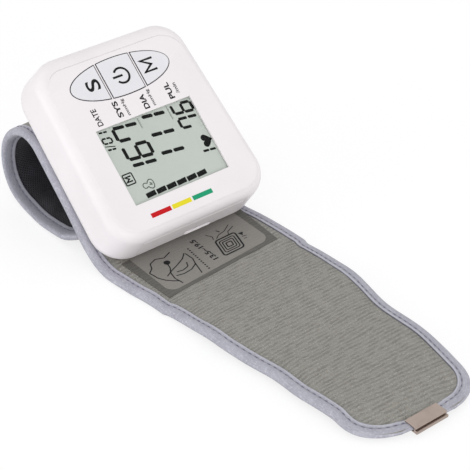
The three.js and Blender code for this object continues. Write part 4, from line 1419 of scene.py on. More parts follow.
@dataclass
class Housing:
    """The tilted white housing: two shells, the printed face and the battery cover."""

    length: float = 78.5
    width: float = 69.2
    height: float = 20.6
    corner: float = 13.0
    back_round: float = 4.0
    face_round: float = 4.5
    rear_grow: float = 1.8
    near_grow: Point2 = (1.2, 2.2)
    far_grow: Point2 = (0.0, 2.9)
    face_grow: Point2 = (1.2, 1.7)
    face_rear: float = -1.0
    flare: float = 25.0
    draft: float = 0.9
    wall: float = 2.0
    ceiling: float = 17.9
    face_seat: float = 19.5
    parting: float = 4.0
    tilt: float = math.radians(39.3)
    origin: Point3 = (-56.4416, 0.0, 27.41)
    margin: float = 3.9
    face_corner: float = 9.5
    overlay: float = 0.8
    gap: float = 0.12
    face_gap: float = 0.02
    face_edge: Point2 = (0.9, 0.2)
    window_y: Point2 = (-22.0, 21.7)
    opening_gap: float = 0.3
    pane_gap: float = 0.06
    cover_top: float = 15.3
    cover_half: float = 23.9
    cover_back: float = 36.65
    cover_gap: float = 0.15
    rolled: float = 0.95
    thumb: Point3 = (12.5, 0.7, 2.4)
    thumb_y: float = 5.0
    thumb_turn: float = math.pi / 2.3
    thumb_lip: Point2 = (0.3, 0.55)
    lip_end: float = 0.6
    lip_sunk: float = 0.2
    outside: float = 41.0  # along x, beyond the lower end wall
    cover_reach: float = 30.0  # less than the cover's x and more than its half width
    bosses: tuple[Point2, ...] = ((26.0, 27.9), (-30.0, 26.4), (-30.0, -26.4), (26.0, -27.9))
    post_foot: float = 2.6
    screw_bore: float = 1.15
    screw_head: float = 2.2
    head_depth: float = 1.3
    bore_depth: float = 5.0
    holder_screws: tuple[Point2, ...] = ((9.99, 12.0), (9.99, -12.0))
    nipple_at: Point2 = (1.06, 0.0)
    nipple_bore: float = 2.5
    lip_insets: Point2 = (2.9, 3.9)
    lip_heights: Point2 = (1.5, 5.6)
    bay_x: Point3 = (13.7, 14.7, 31.05)
    bay_y: Point2 = (24.45, 25.25)
    bay_heights: Point2 = (1.5, 14.6)
    door_x: float = 35.05
    door_half: float = 24.05
    door_top: float = 8.0
    keys_at: float = -24.1
    keys_long: float = 22.3
    keys_short: float = 7.8
    keys_shift: float = -0.9

    def place(self) -> Matrix:
        """Return the matrix from the housing's own frame to the world."""
        return IN_MM @ Matrix.Translation(self.origin) @ Matrix.Rotation(self.tilt, 4, "Y")

    def local_box(self, node: str) -> tuple[Vector, Vector]:
        """Return a CAD node's lowest and highest corners in the housing's own frame.

        Args:
            node: The CAD node's name.

        Returns:
            The two corners, in millimetres.
        """
        back = self.place().inverted()
        corners = [back @ v.co for v in frame["nodes"][node].data.vertices]
        low = Vector(min(c[k] for c in corners) for k in range(3))
        return low, Vector(max(c[k] for c in corners) for k in range(3))

    def outline(self, inset: float, steps: int = 20) -> list[Point2]:
        """Draw the housing's outline, drawn in by an inset and a little wider towards the front."""
        plain = rounded(self.length / 2 - inset, self.width / 2 - inset, self.corner - inset, steps)
        return [self.flared(x, y, self.rear_grow, self.near_grow) for x, y in plain]

    def flared(self, x: float, y: float, rear: float, near: Point2) -> Point2:
        """Move a point of a plain outline to the flared one.

        Args:
            x: Its place along.
            y: Its place across.
            rear: How far the rear end moves out.
            near: How far the near side moves out at its rear and at its front.

        Returns:
            The moved point.
        """
        reach = self.flare
        ahead = ease((x + reach) / (2 * reach))
        first, last = near if y < 0 else self.far_grow
        out = math.copysign(first + (last - first) * ahead, y)
        return x - rear * ease(-x / reach), y + out * ease(abs(y) / reach)

    def levels(self, offset: float, steps: int) -> list[Point2]:
        """List the insets and heights of the wall, from the back to the face.

        Args:
            offset: How far inside the outer form the wall lies.
            steps: The faces of each rounding.

        Returns:
            The insets and heights.
        """
        back, low, high = self.back_round - offset, offset, self.height - offset
        front = max(self.face_round - offset, offset / 2)
        turn = [(math.sin(a), math.cos(a)) for a in quarter(steps)]
        lower = [(offset + back * (1 - s), low + back * (1 - c)) for s, c in turn]
        upper = [(offset + self.draft + front * (1 - c), high - front * (1 - s)) for s, c in turn]
        return lower + upper

    def form(self, name: str, offset: float, low: float, high: float = math.inf) -> Piece:
        """Make the housing's solid form, drawn in by an offset and cut at two heights.

        Args:
            name: The piece's name.
            offset: How far inside the outer form it lies; the outer form itself is made finer.
            low: The height of the lower cut.
            high: The height of the upper cut.

        Returns:
            The solid form.
        """
        levels = self.levels(offset, 10 if offset == 0 else 4)
        kept: list[Point2] = []
        for (i0, z0), (i1, z1) in zip(levels, levels[1:]):
            for edge in (low, high):
                if z0 < edge < z1:
                    kept.append((i0 + (i1 - i0) * (edge - z0) / (z1 - z0), edge))
            if low <= z1 <= high:
                kept.append((i1, z1))
        if levels[0][1] >= low:
            kept.insert(0, levels[0])
        kept.sort(key=lambda level: level[1])
        steps = 20 if offset == 0 else 8
        return loft(name, [ring(self.outline(inset, steps), z) for inset, z in kept])

    def key_outline(self, start: float, end: float, grow: float, steps: int = 36) -> list[Point2]:
        """Draw the slice of the keys' shared ellipse between two distances from its middle.

        Args:
            start: Where the slice starts.
            end: Where it ends.
            grow: How far the slice grows on every side.
            steps: The number of short lines along each of its bows.

        Returns:
            The slice's outline.
        """
        long, short = self.keys_long + grow, self.keys_short + grow
        near, far = max(start - grow, -long), min(end + grow, long)
        angles = [math.asin(near / long), math.asin(far / long)]
        ys = [long * math.sin(angles[0] + (angles[1] - angles[0]) * k / steps) for k in range(steps + 1)]
        reach = [short * math.sqrt(max(0.0, 1 - (y / long) ** 2)) for y in ys]
        front, rear = (
            [(self.keys_at + side * r, y + self.keys_shift) for r, y in zip(reach, ys)] for side in (1, -1)
        )
        first, last = int(start <= -self.keys_long), int(end >= self.keys_long)
        return front + rear[first : len(rear) - last][::-1]

    def key_holes(self, low: float, high: float) -> list[Piece]:
        """Make the bars that cut the keys' openings."""
        return [prism("hole", self.key_outline(a, b, self.opening_gap), low, high) for a, b in Keys.spans()]

    def cover_room(self, grow: float) -> Piece:
        """Make the block that the battery cover fills.

        Args:
            grow: How much larger than the cover it is.

        Returns:
            The block.
        """
        return box(
            "cover_room",
            (self.cover_back - grow, self.length / 2 + 1),
            (-self.cover_half - grow, self.cover_half + grow),
            (self.parting + 0.3 - grow, self.cover_top + grow),
        )

    def front_shell(self) -> None:
        """Build the front shell with its recess and openings."""
        shell = self.form("front_case", 0, self.parting)
        hollow = self.form("hollow", self.wall, self.parting - 1, self.ceiling)
        recess = prism("recess", self.face_outline(self.face_gap), self.face_seat, self.height + 1)
        low, high = self.local_box("lcd_glass")
        gap, through = self.opening_gap, (self.ceiling - 1, self.face_seat + 0.5)
        opening = box("opening", (low.x - gap, high.x + gap), (low.y - gap, high.y + gap), through)
        carve(shell, hollow, recess, opening, *self.key_holes(*through), self.cover_room(self.cover_gap))
        radii = (self.screw_head, self.screw_bore)
        posts = [tube("post", radii, self.post_foot, self.ceiling, at) for at in self.bosses]
        whole = smooth(joined("front_case", [shell, *posts]))
        settle(whole, self.place(), Body.MONITOR, FINISH.white, Slot.WHITE, "front_shell")

    def back_shell(self) -> None:
        """Build the back shell with its screw holes and the battery bay's walls."""
        shell = self.form("back_case", 0, -1, self.parting - self.gap)
        cutters = [self.form("hollow", self.wall, -1, self.parting + 1)]
        for at in self.bosses:
            cutters.append(turned_at("bore", self.screw_bore, -1, self.bore_depth, at))
            cutters.append(turned_at("head", self.screw_head, -1, self.head_depth, at))
        for at in self.holder_screws:
            cutters.append(turned_at("bore", self.screw_bore, -1, self.bore_depth, at))
        cutters.append(turned_at("bore", self.nipple_bore, -1, self.bore_depth, self.nipple_at))
        carve(shell, *cutters)
        (inner, outer), (foot, top) = self.lip_insets, self.lip_heights
        corners = ((inner, foot), (inner, top), (outer, top), (outer, foot))
        lip = loft("lip", [ring(self.outline(inset), z) for inset, z in corners], closed=True)
        (near, far), (rear, middle, front) = self.bay_y, self.bay_x
        parts = [shell, lip, box("partition", (rear, middle), (-far, far), self.bay_heights)]
        for ends in ((-far, -near), (near, far)):
            parts.append(box("end_wall", (middle, front), ends, self.bay_heights))
        whole = joined("back_case", parts)
        heights = (self.parting - self.gap, self.door_top)
        carve(whole, box("door", (self.door_x, self.outside), (-self.door_half, self.door_half), heights))
        smooth(whole)
        settle(whole, self.place(), Body.MONITOR, FINISH.white, Slot.WHITE, "back_shell")

    def face_outline(self, grow: float) -> list[Point2]:
        """Draw the printed face's outline.

        Args:
            grow: How far it grows on every side.

        Returns:
            The outline.
        """
        half_x, half_y = self.length / 2 - self.margin, self.width / 2 - self.margin
        plain = rounded(half_x + grow, half_y + grow, self.face_corner + grow, 20)
        return [self.flared(x, y, self.face_rear, self.face_grow) for x, y in plain]

    def face(self) -> None:
        """Build the face overlay with a fine rounded edge."""
        reach, drop = self.face_edge
        rings = [ring(self.face_outline(0), self.height - self.overlay)]
        for angle in quarter(5):
            outline = self.face_outline(-reach * (1 - math.cos(angle)))
            rings.append(ring(outline, self.height - drop * (1 - math.sin(angle))))
        sheet = loft("face_film", rings)
        low, high = self.local_box("display_window")
        (near, far), gap = self.window_y, self.pane_gap
        through = (self.face_seat - 0.5, self.height + 1.4)
        pane = box("pane", (low.x - gap, high.x + gap), (near - gap, far + gap), through)
        carve(sheet, pane, *self.key_holes(*through))
        smooth(sheet)
        settle(sheet, self.place(), Body.MONITOR, FINISH.overlay, Slot.WHITE, "face_overlay")

    def cover(self) -> None:
        """Build the battery cover with its rolled top edge and thumb notch."""
        door = self.form("cover_door", 0, self.parting - 0.5, self.cover_top + 1)
        carve(door, self.cover_room(0), mode="INTERSECT")
        hinge = Vector((self.cover_back + self.rolled, 0, self.cover_top - self.rolled))
        # All that lies above the hinge line goes, apart from a round bar about it
        room = self.cover_reach
        carve(door, box("above", (room, self.outside), (-room, room), (hinge.z, self.cover_top + 1)))
        bar = turned("bar", [(self.rolled, -self.cover_half), (self.rolled, self.cover_half)], 40)
        carve(door, laid_across(bar, hinge), mode="UNION")
        width, depth, rise = self.thumb
        half, low = width / 2, self.parting + 0.3
        near, far = self.thumb_y - half, self.thumb_y + half
        rings = []
        for angle in (k / 8 * self.thumb_turn for k in range(9)):
            face = self.length / 2 - depth * math.cos(angle)
            corners = ((face, near), (self.outside, near), (self.outside, far), (face, far))
            rings.append(ring(corners, low + rise * math.sin(angle)))
        rings.insert(0, [Vector((p.x, p.y, low - 1)) for p in rings[0]])
        carve(door, loft("notch", rings))
        (thin, thick), end = self.thumb_lip, half - self.lip_end
        lip = turned("lip", [(thin, -half), (thick, -end), (thick, end), (thin, half)], 24)
        spot = Vector((self.length / 2 - self.lip_sunk, self.thumb_y, low + thick))
        carve(door, laid_across(lip, spot), mode="UNION")
        door.data.shade_flat()
        settle(door, self.place(), Body.COVER, FINISH.white, Slot.WHITE, "battery_cover")

    def build(self) -> None:
        """Build the whole housing."""
        self.front_shell()
        self.back_shell()
        self.face()
        self.cover()


def turned_at(name: str, radius: float, low: float, high: float, at: Point2) -> Piece:
    """Make an upright round bar at a place.

    Args:
        name: The piece's name.
        radius: Its radius.
        low: The height of its lower end.
        high: The height of its upper end.
        at: The place of its middle.

    Returns:
        The new object.
    """
    bar = turned(name, [(radius, low), (radius, high)], ROUND_STEPS)
    bar.data.transform(Matrix.Translation((*at, 0)))
    return bar


def laid_across(piece: Piece, spot: Vector) -> Piece:
    """Turn an upright piece to lie across the housing, with its middle at a spot."""
    piece.data.transform(Matrix.Translation(spot) @ Matrix.Rotation(math.pi / 2, 4, "X"))
    return piece


# The keys


class KeySign(Enum):
    """What is printed on a key."""

    SET = "S"
    POWER = "power"
    MEMORY = "M"


@dataclass
class Keys:
    """The three keys that share one oval, with their printed signs and a painted shadow line in the gap round
    each.
    """

    housing: Housing
    flange: Point2 = (16.8, 17.6)
    flange_out: float = 0.5
    top: float = 21.0
    edge: float = 0.28
    stem: float = 16.7
    stem_radius: float = 1.0
    switch_y: float = 14.2
    print_depth: float = 0.03
    line: Point2 = (0.88, 0.9)
    power_at: Point2 = (-23.9, -0.6)
    power_radius: float = 3.15
    power_arc: Point2 = (-52, 232)
    power_bar: Point2 = (-4.0, 0.4)
    memory: tuple[Point2, ...] = ((-21.7, 15.0), (-21.7, 9.5), (-24.15, 13.4), (-26.6, 9.5), (-26.6, 15.0))
    letter: tuple[float, float, float, float, float] = (-24.0, -13.75, 4.6, 5.9, 0.16)
    # The painted shadow line in each key's gap: how far it grows, its width and how far it stands proud
    rim: Point3 = (0.2, 0.38, 0.012)

    @staticmethod
    def spans() -> tuple[Point2, ...]:
        """Return where each key starts and ends across the housing."""
        return ((-22.3, -8.5), (-7.2, 7.2), (8.5, 22.3))

    def cap(self, name: str, start: float, end: float, switch_y: float) -> Piece:
        """Build one key's cap with its flange and its stem.

        Args:
            name: The piece's name.
            start: Where the key starts across the housing.
            end: Where it ends.
            switch_y: The place of its stem.

        Returns:
            The cap.
        """
        foot, top = self.flange
        levels = [(self.flange_out, foot), (self.flange_out, top), (0.0, top)]
        for angle in quarter(5):
            inset, drop = self.edge * (1 - math.cos(angle)), self.edge * (1 - math.sin(angle))
            levels.append((-inset, self.top - drop))
        cap = loft(name, [ring(self.housing.key_outline(start, end, grow), z) for grow, z in levels])
        at = (self.housing.keys_at, switch_y)
        stem = turned_at("stem", self.stem_radius, self.stem, foot + 0.2, at)
        return smooth(joined(name, [cap, stem]), 40)

    def sign(self, sign: KeySign) -> Piece:
        """Draw a key's printed sign.

        Args:
            sign: The sign to draw.

        Returns:
            The sign.
        """
        name = f"key_sign_{sign.name.lower()}"
        level = (self.top, self.top + self.print_depth)
        thin, thick = self.line
        if sign is KeySign.SET:
            return written(name, sign.value, *self.letter, level)
        if sign is KeySign.MEMORY:
            drawing = Drawing().stroke(self.memory, thick)
            for x, y in self.memory[1:4]:
                drawing.disc(x, y, thick / 2, 12)
            return drawing.plate(name, *level)
        x, y = self.power_at
        drawing = Drawing().arc(x, y, self.power_radius, *self.power_arc, thin)
        drawing.areas = [[(2 * x - px, py) for px, py in area] for area in drawing.areas]
        drawing.stroke([(x, y + end) for end in self.power_bar], thin)
        return drawing.plate(name, *level)

    def build(self) -> None:
        """Build the keys, their signs and the painted shadow lines in the gaps round them."""
        place = self.housing.place()
        bodies = (Body.KEY_SET, Body.KEY_POWER, Body.KEY_MEMORY)
        middles = (-self.switch_y, 0.0, self.switch_y)
        for body, sign, span, middle in zip(bodies, KeySign, self.spans(), middles):
            name = f"{sign.name.lower()}_key_cap"
            settle(self.cap(name, *span, middle), place, body, FINISH.key, Slot.KEY, body.value)
            settle(self.sign(sign), place, body, FINISH.ink, Slot.KEY)
        # A dark plate in each key's gap is the painted shadow there
        lines, (grow, width, proud) = Drawing(), self.rim
        for start, end in self.spans():
            lines.stroke(self.housing.key_outline(start, end, grow), width, closed=True)
        rim = lines.plate("key_gap_shadow_lines", self.housing.height - 0.3, self.housing.height + proud)
        settle(rim, place, Body.MONITOR, FINISH.gap, Slot.BLACK)


# The display


class Lit(Enum):
    """The lit segments of each digit, by the usual letters: a on top, then clockwise, g in the middle."""

    ZERO = "abcdef"
    ONE = "bc"
    SIX = "acdefg"
    SEVEN = "abcf"


@dataclass
class Row:
    """A row of seven-segment digits, by its middle and the way between digits."""

    digits: tuple[Lit, ...]
    x: float
    y: float
    pitch: float
    half_x: float
    half_y: float
    weight: float


@dataclass
class Display:
    """The window and everything that the glass shows."""

    housing: Housing
    pane_grow: float = 0.03
    pane_sunk: float = 0.02
    lean: float = 0.11
    depth: float = 0.03
    rows: tuple[Row, ...] = (
        Row((Lit.ONE, Lit.SIX, Lit.SEVEN), 13.6, -9.4, 8.05, 2.68, 5.4, 1.42),
        Row((Lit.ONE, Lit.ONE, Lit.ONE), 13.25, 3.95, 7.95, 2.68, 5.3, 1.5),
        Row((Lit.SEVEN, Lit.SIX), 2.4, 16.85, 6.25, 1.95, 4.3, 1.2),
        Row((Lit.ONE,), 17.3, 18.5, 4.0, 1.6, 3.0, 0.95),
        Row((Lit.ONE,), 2.8, -18.9, 4.0, 1.3, 1.9, 0.78),
        Row((Lit.ZERO, Lit.ONE), -2.25, -19.0, 2.6, 1.05, 1.9, 0.72),
    )
    gap: float = 0.13
    taper: float = 0.6
    bar_at: Point2 = (22.95, -13.4)
    bar_pitch: float = 4.75
    bar_count: int = 6
    bar_half: Point2 = (1.0, 2.13)
    bar_skew: float = 0.12
    heart_at: Point2 = (11.8, 19.4)
    heart_size: float = 0.165
    fine: tuple[tuple[float, tuple[Point2, ...]], ...] = (
        (0.62, ((15.5, -17.5), (15.5, -20.0), (14.5, -18.6), (13.5, -20.0), (13.5, -17.5))),
        (0.34, ((0.75, -17.0), (-0.35, -21.0))),
    )
    wearer: tuple[tuple[float, tuple[Point2, ...]], ...] = (
        (0.34, (
            (18.7, -12.9), (17.9, -12.4), (17.35, -11.5), (17.6, -10.6), (18.5, -10.15), (19.9, -10.15),
            (20.9, -10.6), (21.15, -11.5), (20.6, -12.4), (19.8, -12.9),
        )),
        (0.3, ((19.8, -11.0), (19.3, -11.9), (19.2, -10.9), (18.6, -11.7))),
    )
    rules: tuple[Point3, ...] = ((-1.9, -6.3, -3.05), (-0.8, -6.7, 10.75))
    ticks: int = 5

    def digit(self, drawing: Drawing, row: Row, x: float, lit: Lit) -> None:
        """Draw one digit; it reads towards lower x, with its top towards lower y.

        Args:
            drawing: The drawing it is added to.
            row: The row it stands in.
            x: The place of its middle.
            lit: Its lit segments.
        """
        w, h, t = row.half_x, row.half_y, row.weight / 2
        ends = {
            "a": ((-w, h), (w, h)),
            "b": ((w, h), (w, 0)),
            "c": ((w, 0), (w, -h)),
            "d": ((-w, -h), (w, -h)),
            "e": ((-w, 0), (-w, -h)),
            "f": ((-w, h), (-w, 0)),
            "g": ((-w, 0), (w, 0)),
        }
        for letter in lit.value:
            (x0, y0), (x1, y1) = ends[letter]
            way = Vector((x1 - x0, y1 - y0)).normalized()
            out = Vector((-way.y, way.x)) * t
            gap, point = self.gap * row.weight, way * t * self.taper
            start = Vector((x0, y0)) + way * gap
            end = Vector((x1, y1)) - way * gap
            corner = [start, start + point + out, end - point + out]
            corner += [end, end - point - out, start + point - out]
            drawing.area([(x - (c.x + self.lean * c.y), row.y - c.y) for c in corner])

    def marks(self) -> Drawing:
        """Draw the black marks: digits, heart and the pressure bar.

        Returns:
            The drawing.
        """
        drawing = Drawing()
        for row in self.rows:
            for index, lit in enumerate(row.digits):
                self.digit(drawing, row, row.x - index * row.pitch, lit)
        (x, first), (half, tall) = self.bar_at, self.bar_half
        corners = ((-half, -tall), (half, -tall), (half, tall), (-half, tall))
        for k in range(self.bar_count):
            y = first + k * self.bar_pitch
            drawing.area([(x + dx - self.bar_skew * dy / tall, y + dy) for dx, dy in corners])
        heart, (x, y) = [], self.heart_at
        for a in around(40):
            px = 16 * math.sin(a) ** 3
            py = 13 * math.cos(a) - 5 * math.cos(2 * a) - 2 * math.cos(3 * a) - math.cos(4 * a)
            heart.append((x - px * self.heart_size, y - py * self.heart_size))
        return drawing.area(heart)

    def fine_marks(self) -> Drawing:
        """Draw the finer marks: the memory frame with its letter and the slash of the date."""
        frame_line = [(14.5 + x, -18.75 + y) for x, y in rounded(2.2, 2.05, 0.5, 5)]
        return Drawing().stroke(frame_line, 0.5, closed=True).strokes(self.fine)

    def thin_marks(self) -> Drawing:
        """Draw the greyish line art: a wearer's outline."""
        return Drawing().arc(19.2, -13.85, 1.05, 130, 410, 0.32, 20).strokes(self.wearer)

    def faint_marks(self) -> Drawing:
        """Draw the pale rules that part the rows, with their short ticks.

        Returns:
            The drawing.
        """
        drawing = Drawing()
        for x0, x1, y in self.rules:
            drawing.stroke([(x0, y), (x1, y)], 0.42)
            for k in range(self.ticks):
                x = x0 + (x1 - x0) * (k + 0.5) / self.ticks
                drawing.stroke([(x, y), (x - 0.2, y + 0.5)], 0.2)
        return drawing

    def build(self) -> None:
        """Build the window and the marks on the glass."""
        place = self.housing.place()
        low, high = self.housing.local_box("display_window")
        (near, far), grow = self.housing.window_y, self.pane_grow
        heights = (low.z, high.z - self.pane_sunk)
        pane = box("window_pane", (low.x - grow, high.x + grow), (near - grow, far + grow), heights)
        soften(pane, 0.06, 2)
        smooth(pane)
        settle(pane, place, Body.MONITOR, FINISH.pane, Slot.CLEAR, "display_window")
        top = self.housing.face_seat
        sets = (
            ("display_digits", self.marks(), FINISH.segment),
            ("display_fine_marks", self.fine_marks(), FINISH.segment),
            ("display_line_art", self.thin_marks(), FINISH.fine),
            ("display_rules", self.faint_marks(), FINISH.faint),
        )
        for name, drawing, finish in sets:
            settle(drawing.plate(name, top, top + self.depth), place, Body.MONITOR, finish, Slot.GLASS)


@dataclass
class FacePrint:
    """The words beside the rows and the coloured scale below the display."""

    housing: Housing
    depth: float = 0.02
    words: tuple[tuple[str, float, float, float, float, float], ...] = (
        ("DATE", -11.75, -18.75, 7.2, 2.3, 0.2),
        ("SYS", -11.95, -9.15, 6.9, 2.35, 0.32),
        ("DIA", -11.15, 2.75, 6.2, 2.35, 0.32),
        ("PUL", -11.75, 14.75, 7.0, 2.35, 0.32),
    )
    units: tuple[tuple[str, float, float, float, float, float], ...] = (
        ("mmHg", -11.7, -5.6, 7.1, 1.75, 0.2),
        ("mmHg", -11.8, 6.3, 7.1, 1.75, 0.2),
        ("/min", -11.8, 18.0, 4.6, 1.6, 0.2),
    )
    scale_x: float = 30.95
    scale_half: float = 0.92
    scale: tuple[tuple[float, float, str], ...] = (
        (-18.45, -9.4, "red"),
        (-8.75, 0.0, "yellow"),
        (0.8, 9.95, "green"),
    )

    def build(self) -> None:
        """Build the words and the scale."""
        place = self.housing.place()
        level = (self.housing.height, self.housing.height + self.depth)
        sets = (("face_words", self.words, FINISH.ink), ("face_units", self.units, FINISH.soft_ink))
        for name, specs, finish in sets:
            words = [written("word", *spec, level) for spec in specs]
            settle(joined(name, words), place, Body.MONITOR, finish, Slot.WHITE)
        left, right = self.scale_x - self.scale_half, self.scale_x + self.scale_half
        for start, end, colour in self.scale:
            bar = Drawing().area([(left, start), (right, start), (right, end), (left, end)])
            piece = bar.plate(f"scale_{colour}", *level)
            settle(piece, place, Body.MONITOR, getattr(FINISH, colour), Slot.WHITE)


# The soft parts


@dataclass
class Route:
    """The line that the cuff and strap follow: distance u runs from the cuff's flat end, x = 5.9,
    forward along the strap where it is positive and back along the cuff where it is negative."""

    flat_end: float = 5.9
    foot: float = -29.9
    foot_radius: float = 12.0
    tilt: float = math.radians(39.3)
    slope_end: float = -66.9
    curl_radius: float = 16.0
    inner_radius: float = 13.5
    inner_start: float = math.radians(250)
    tail_radius: float = 160.0
    tail_turn: float = math.radians(13)
    end_corner: float = 13.0
    end_narrow: float = 9.0
    half: float = 35.5
    thin: float = 3.4
    slope_thick: float = 4.1
    curl_thick: float = 5.2
    hinge: float = 8.0
    strap_end: float = 110.9
    round_length: float = 17.9
    round_power: float = 2.5
    along: tuple[float, ...] = (0, 0.16, 0.27, 0.37, 0.5, 0.66, 0.83)
    shares: tuple[float, ...] = (0.964, 0.946, 0.932, 0.887, 0.832, 0.818, 0.747)
    front_narrow: float = 0.4
    narrowing: Point2 = (-45, 20)
    tip_thick: float = 2.3
    tip_thinning: Point2 = (92.0, 11)
    tip_bend: Point2 = (92.0, 14)
    clip_thick: float = 1.4
    clip_squeeze: Point2 = (103, 2.5)
    clip_half: float = 10.4
    edge_thick: float = 3.5
    edge_slope: float = 0.8
    edge_reach: float = 9.0
    lifts: tuple[Point2, ...] = (
        (8, 0), (18, 1.0), (33, 2.6), (45, 1.8), (60, 1.6), (78, 2.3), (93, 2.0), (103, 1.55), (112, 1.5),
    )
    sways: tuple[Point2, ...] = (
        (-105, -0.9), (-90, -0.8), (-75, -1.1), (-50, -1.6), (-30, -2.4), (-20, -1.3), (-10, 0.4), (0, 1.4),
        (8, 1.6), (20, 1.8), (35, 2.0), (50, 1.9), (63, 2.4), (78, 2.6), (88, 2.2), (95, 1.5), (102, 0.9),
        (109, 0.5), (115, 0.1),
    )
    tail_sway: float = 1.3
    tail_stray: Point2 = (134, 18)
    bulge: float = 1.1
    bulge_rise: Point2 = (116, 14)
    bulge_fall: Point2 = (128, 11)
    lift_reach: float = 6.0
    ripple: float = 0.55
    ripple_rise: float = 12.0
    ripple_fall: Point2 = (96, 8)
    ripple_half: float = 30.0
    tip_droop: float = 0.5
    droop_reach: float = 9.0
    askew: float = 0.055
    flat_half: float = 8.0
    table: float = 0.02
    curve_steps: int = 12
    stops: np.ndarray = field(default_factory=lambda: np.arange(-110, 120, 0.5))
    legs: list[Point2] = field(default_factory=list)
    ends: list[float] = field(default_factory=list)
    edge: list[Point2] = field(default_factory=list)

    def __post_init__(self) -> None:
        """Work out the legs and the strap's edge."""
        reach = self.foot_radius * math.tan(self.tilt / 2)
        slope = (self.foot - self.slope_end) / math.cos(self.tilt) - reach
        first = self.inner_start - (math.pi - self.tilt)
        second = math.tau - self.inner_start
        self.legs = [
            (self.flat_end - self.foot - reach, 0.0),
            (self.foot_radius * self.tilt, -self.tilt),
            (slope, 0.0),
            (self.curl_radius * first, first),
            (self.inner_radius * second, second),
            (self.tail_radius * self.tail_turn, self.tail_turn),
        ]
        self.ends = [0.0]
        for length, _ in self.legs:
            self.ends.append(self.ends[-1] + length)
        span = self.strap_end - self.hinge
        knots = [(self.hinge + a * span, s * self.half) for a, s in zip(self.along, self.shares)]
        padded = [knots[0], *knots, knots[-1]]
        for k in range(1, len(padded) - 2):
            pairs = list(zip(*padded[k - 1 : k + 3]))
            for step in range(self.curve_steps):
                x, y = (curve_point(*four, step / self.curve_steps) for four in pairs)
                self.edge.append((x, y))
        self.edge.append(knots[-1])
        self.lift_line = eased(self.lifts, self.stops)
        self.sway_line = eased(self.sways, self.stops)

    @property
    def length(self) -> float:
        """Return the cuff's length along its route."""
        return self.ends[-1]

    def lift(self, x: float) -> float:
        """Return how far the strap bows off the table."""
        return float(np.interp(x, self.stops, self.lift_line)) * ease((x - self.flat_end) / self.lift_reach)

    def sway(self, x: float) -> float:
        """Return how far the strap's middle strays to the side."""
        return float(np.interp(x, self.stops, self.sway_line))

    def at(self, u: float) -> tuple[Vector, Vector]:
        """Return the lining side's place and the way out to the fabric.

        Args:
            u: Distance along the route.

        Returns:
            The place and the way out.
        """
        if u >= 0:
            x = self.flat_end + u
            slope = (self.lift(x + 0.5) - self.lift(x - 0.5)) / 1.0
            return Vector((x, 0, self.lift(x))), Vector((-slope, 0, 1)).normalized()
        x, z, heading, left = self.flat_end, 0.0, math.pi, -u
        for length, turn in self.legs:
            done = max(min(left, length), 0.0)
            left -= done
            if turn == 0:
                x += done * math.cos(heading)
                z += done * math.sin(heading)
            else:
                after, radius = heading + turn * done / length, length / turn
                x += radius * (math.sin(after) - math.sin(heading))
                z += radius * (math.cos(heading) - math.cos(after))
                heading = after
        return Vector((x, 0, z)), Vector((math.sin(heading), 0, -math.cos(heading)))

    def thick(self, u: float) -> float:
        """Return the sandwich's thickness.

        Args:
            u: Distance along the route.

        Returns:
            The thickness.
        """
        if u >= 0:
            return self.thin + (self.tip_thick - self.thin) * over(self.flat_end + u, self.tip_thinning)
        s = -u
        climbed = ease((s - self.ends[1]) / (self.ends[2] - self.ends[1]))
        slope = self.thin + (self.slope_thick - self.thin) * climbed
        curl = slope + (self.curl_thick - slope) * ease((s - self.ends[3]) / self.inner_radius)
        return curl + (self.thin - curl) * ease((s - self.length) / self.end_corner + 1)

    def half_width(self, u: float) -> float:
        """Return the distance from the middle to the edge.

        Args:
            u: Distance along the route.

        Returns:
            The distance.
        """
        if u <= 0:
            share = min(max((-u - self.length) / self.end_corner + 1, 0.0), 1.0)
            narrow = self.front_narrow * over(u, self.narrowing)
            return self.half - narrow - self.end_narrow * (1 - math.sqrt(1 - share * share))
        x = self.flat_end + u
        width = self.edge[-1][1]
        if x <= self.edge[0][0]:
            start = self.half - self.front_narrow
            width = start + (self.edge[0][1] - start) * (x - self.flat_end) / (self.hinge - self.flat_end)
        else:
            for (x0, y0), (x1, y1) in zip(self.edge, self.edge[1:]):
                if x0 <= x <= x1:
                    width = y0 + (y1 - y0) * (x - x0) / (x1 - x0)
                    break
        share = (x - self.strap_end) / self.round_length + 1
        if share > 0:
            width *= max(0.0, 1 - min(share, 1.0) ** self.round_power) ** (1 / self.round_power)
        return width

    def faces(self, u: float, y: float, inset: float) -> Point2:
        """Return the heights of the lining side and the fabric side at a place.

        Args:
            u: Distance along the route.
            y: Distance across.
            inset: Distance from the edge, where the sandwich is pinched.

        Returns:
            The lower and the upper height.
        """
        high = self.thick(u)
        sloping = ease((-u - self.ends[2]) / 10) * ease((self.ends[3] + 8 + u) / 10)
        pinched = max(high - self.edge_thick - self.edge_slope * sloping, 0.0)
        low = pinched * (1 - ease(inset / self.edge_reach))
        squeeze = over(self.flat_end + u, self.clip_squeeze)
        squeeze *= ease((self.clip_half - abs(y)) / self.clip_squeeze[1])
        spare = (high - low - self.clip_thick) / 2 * squeeze
        return low + spare, high - spare

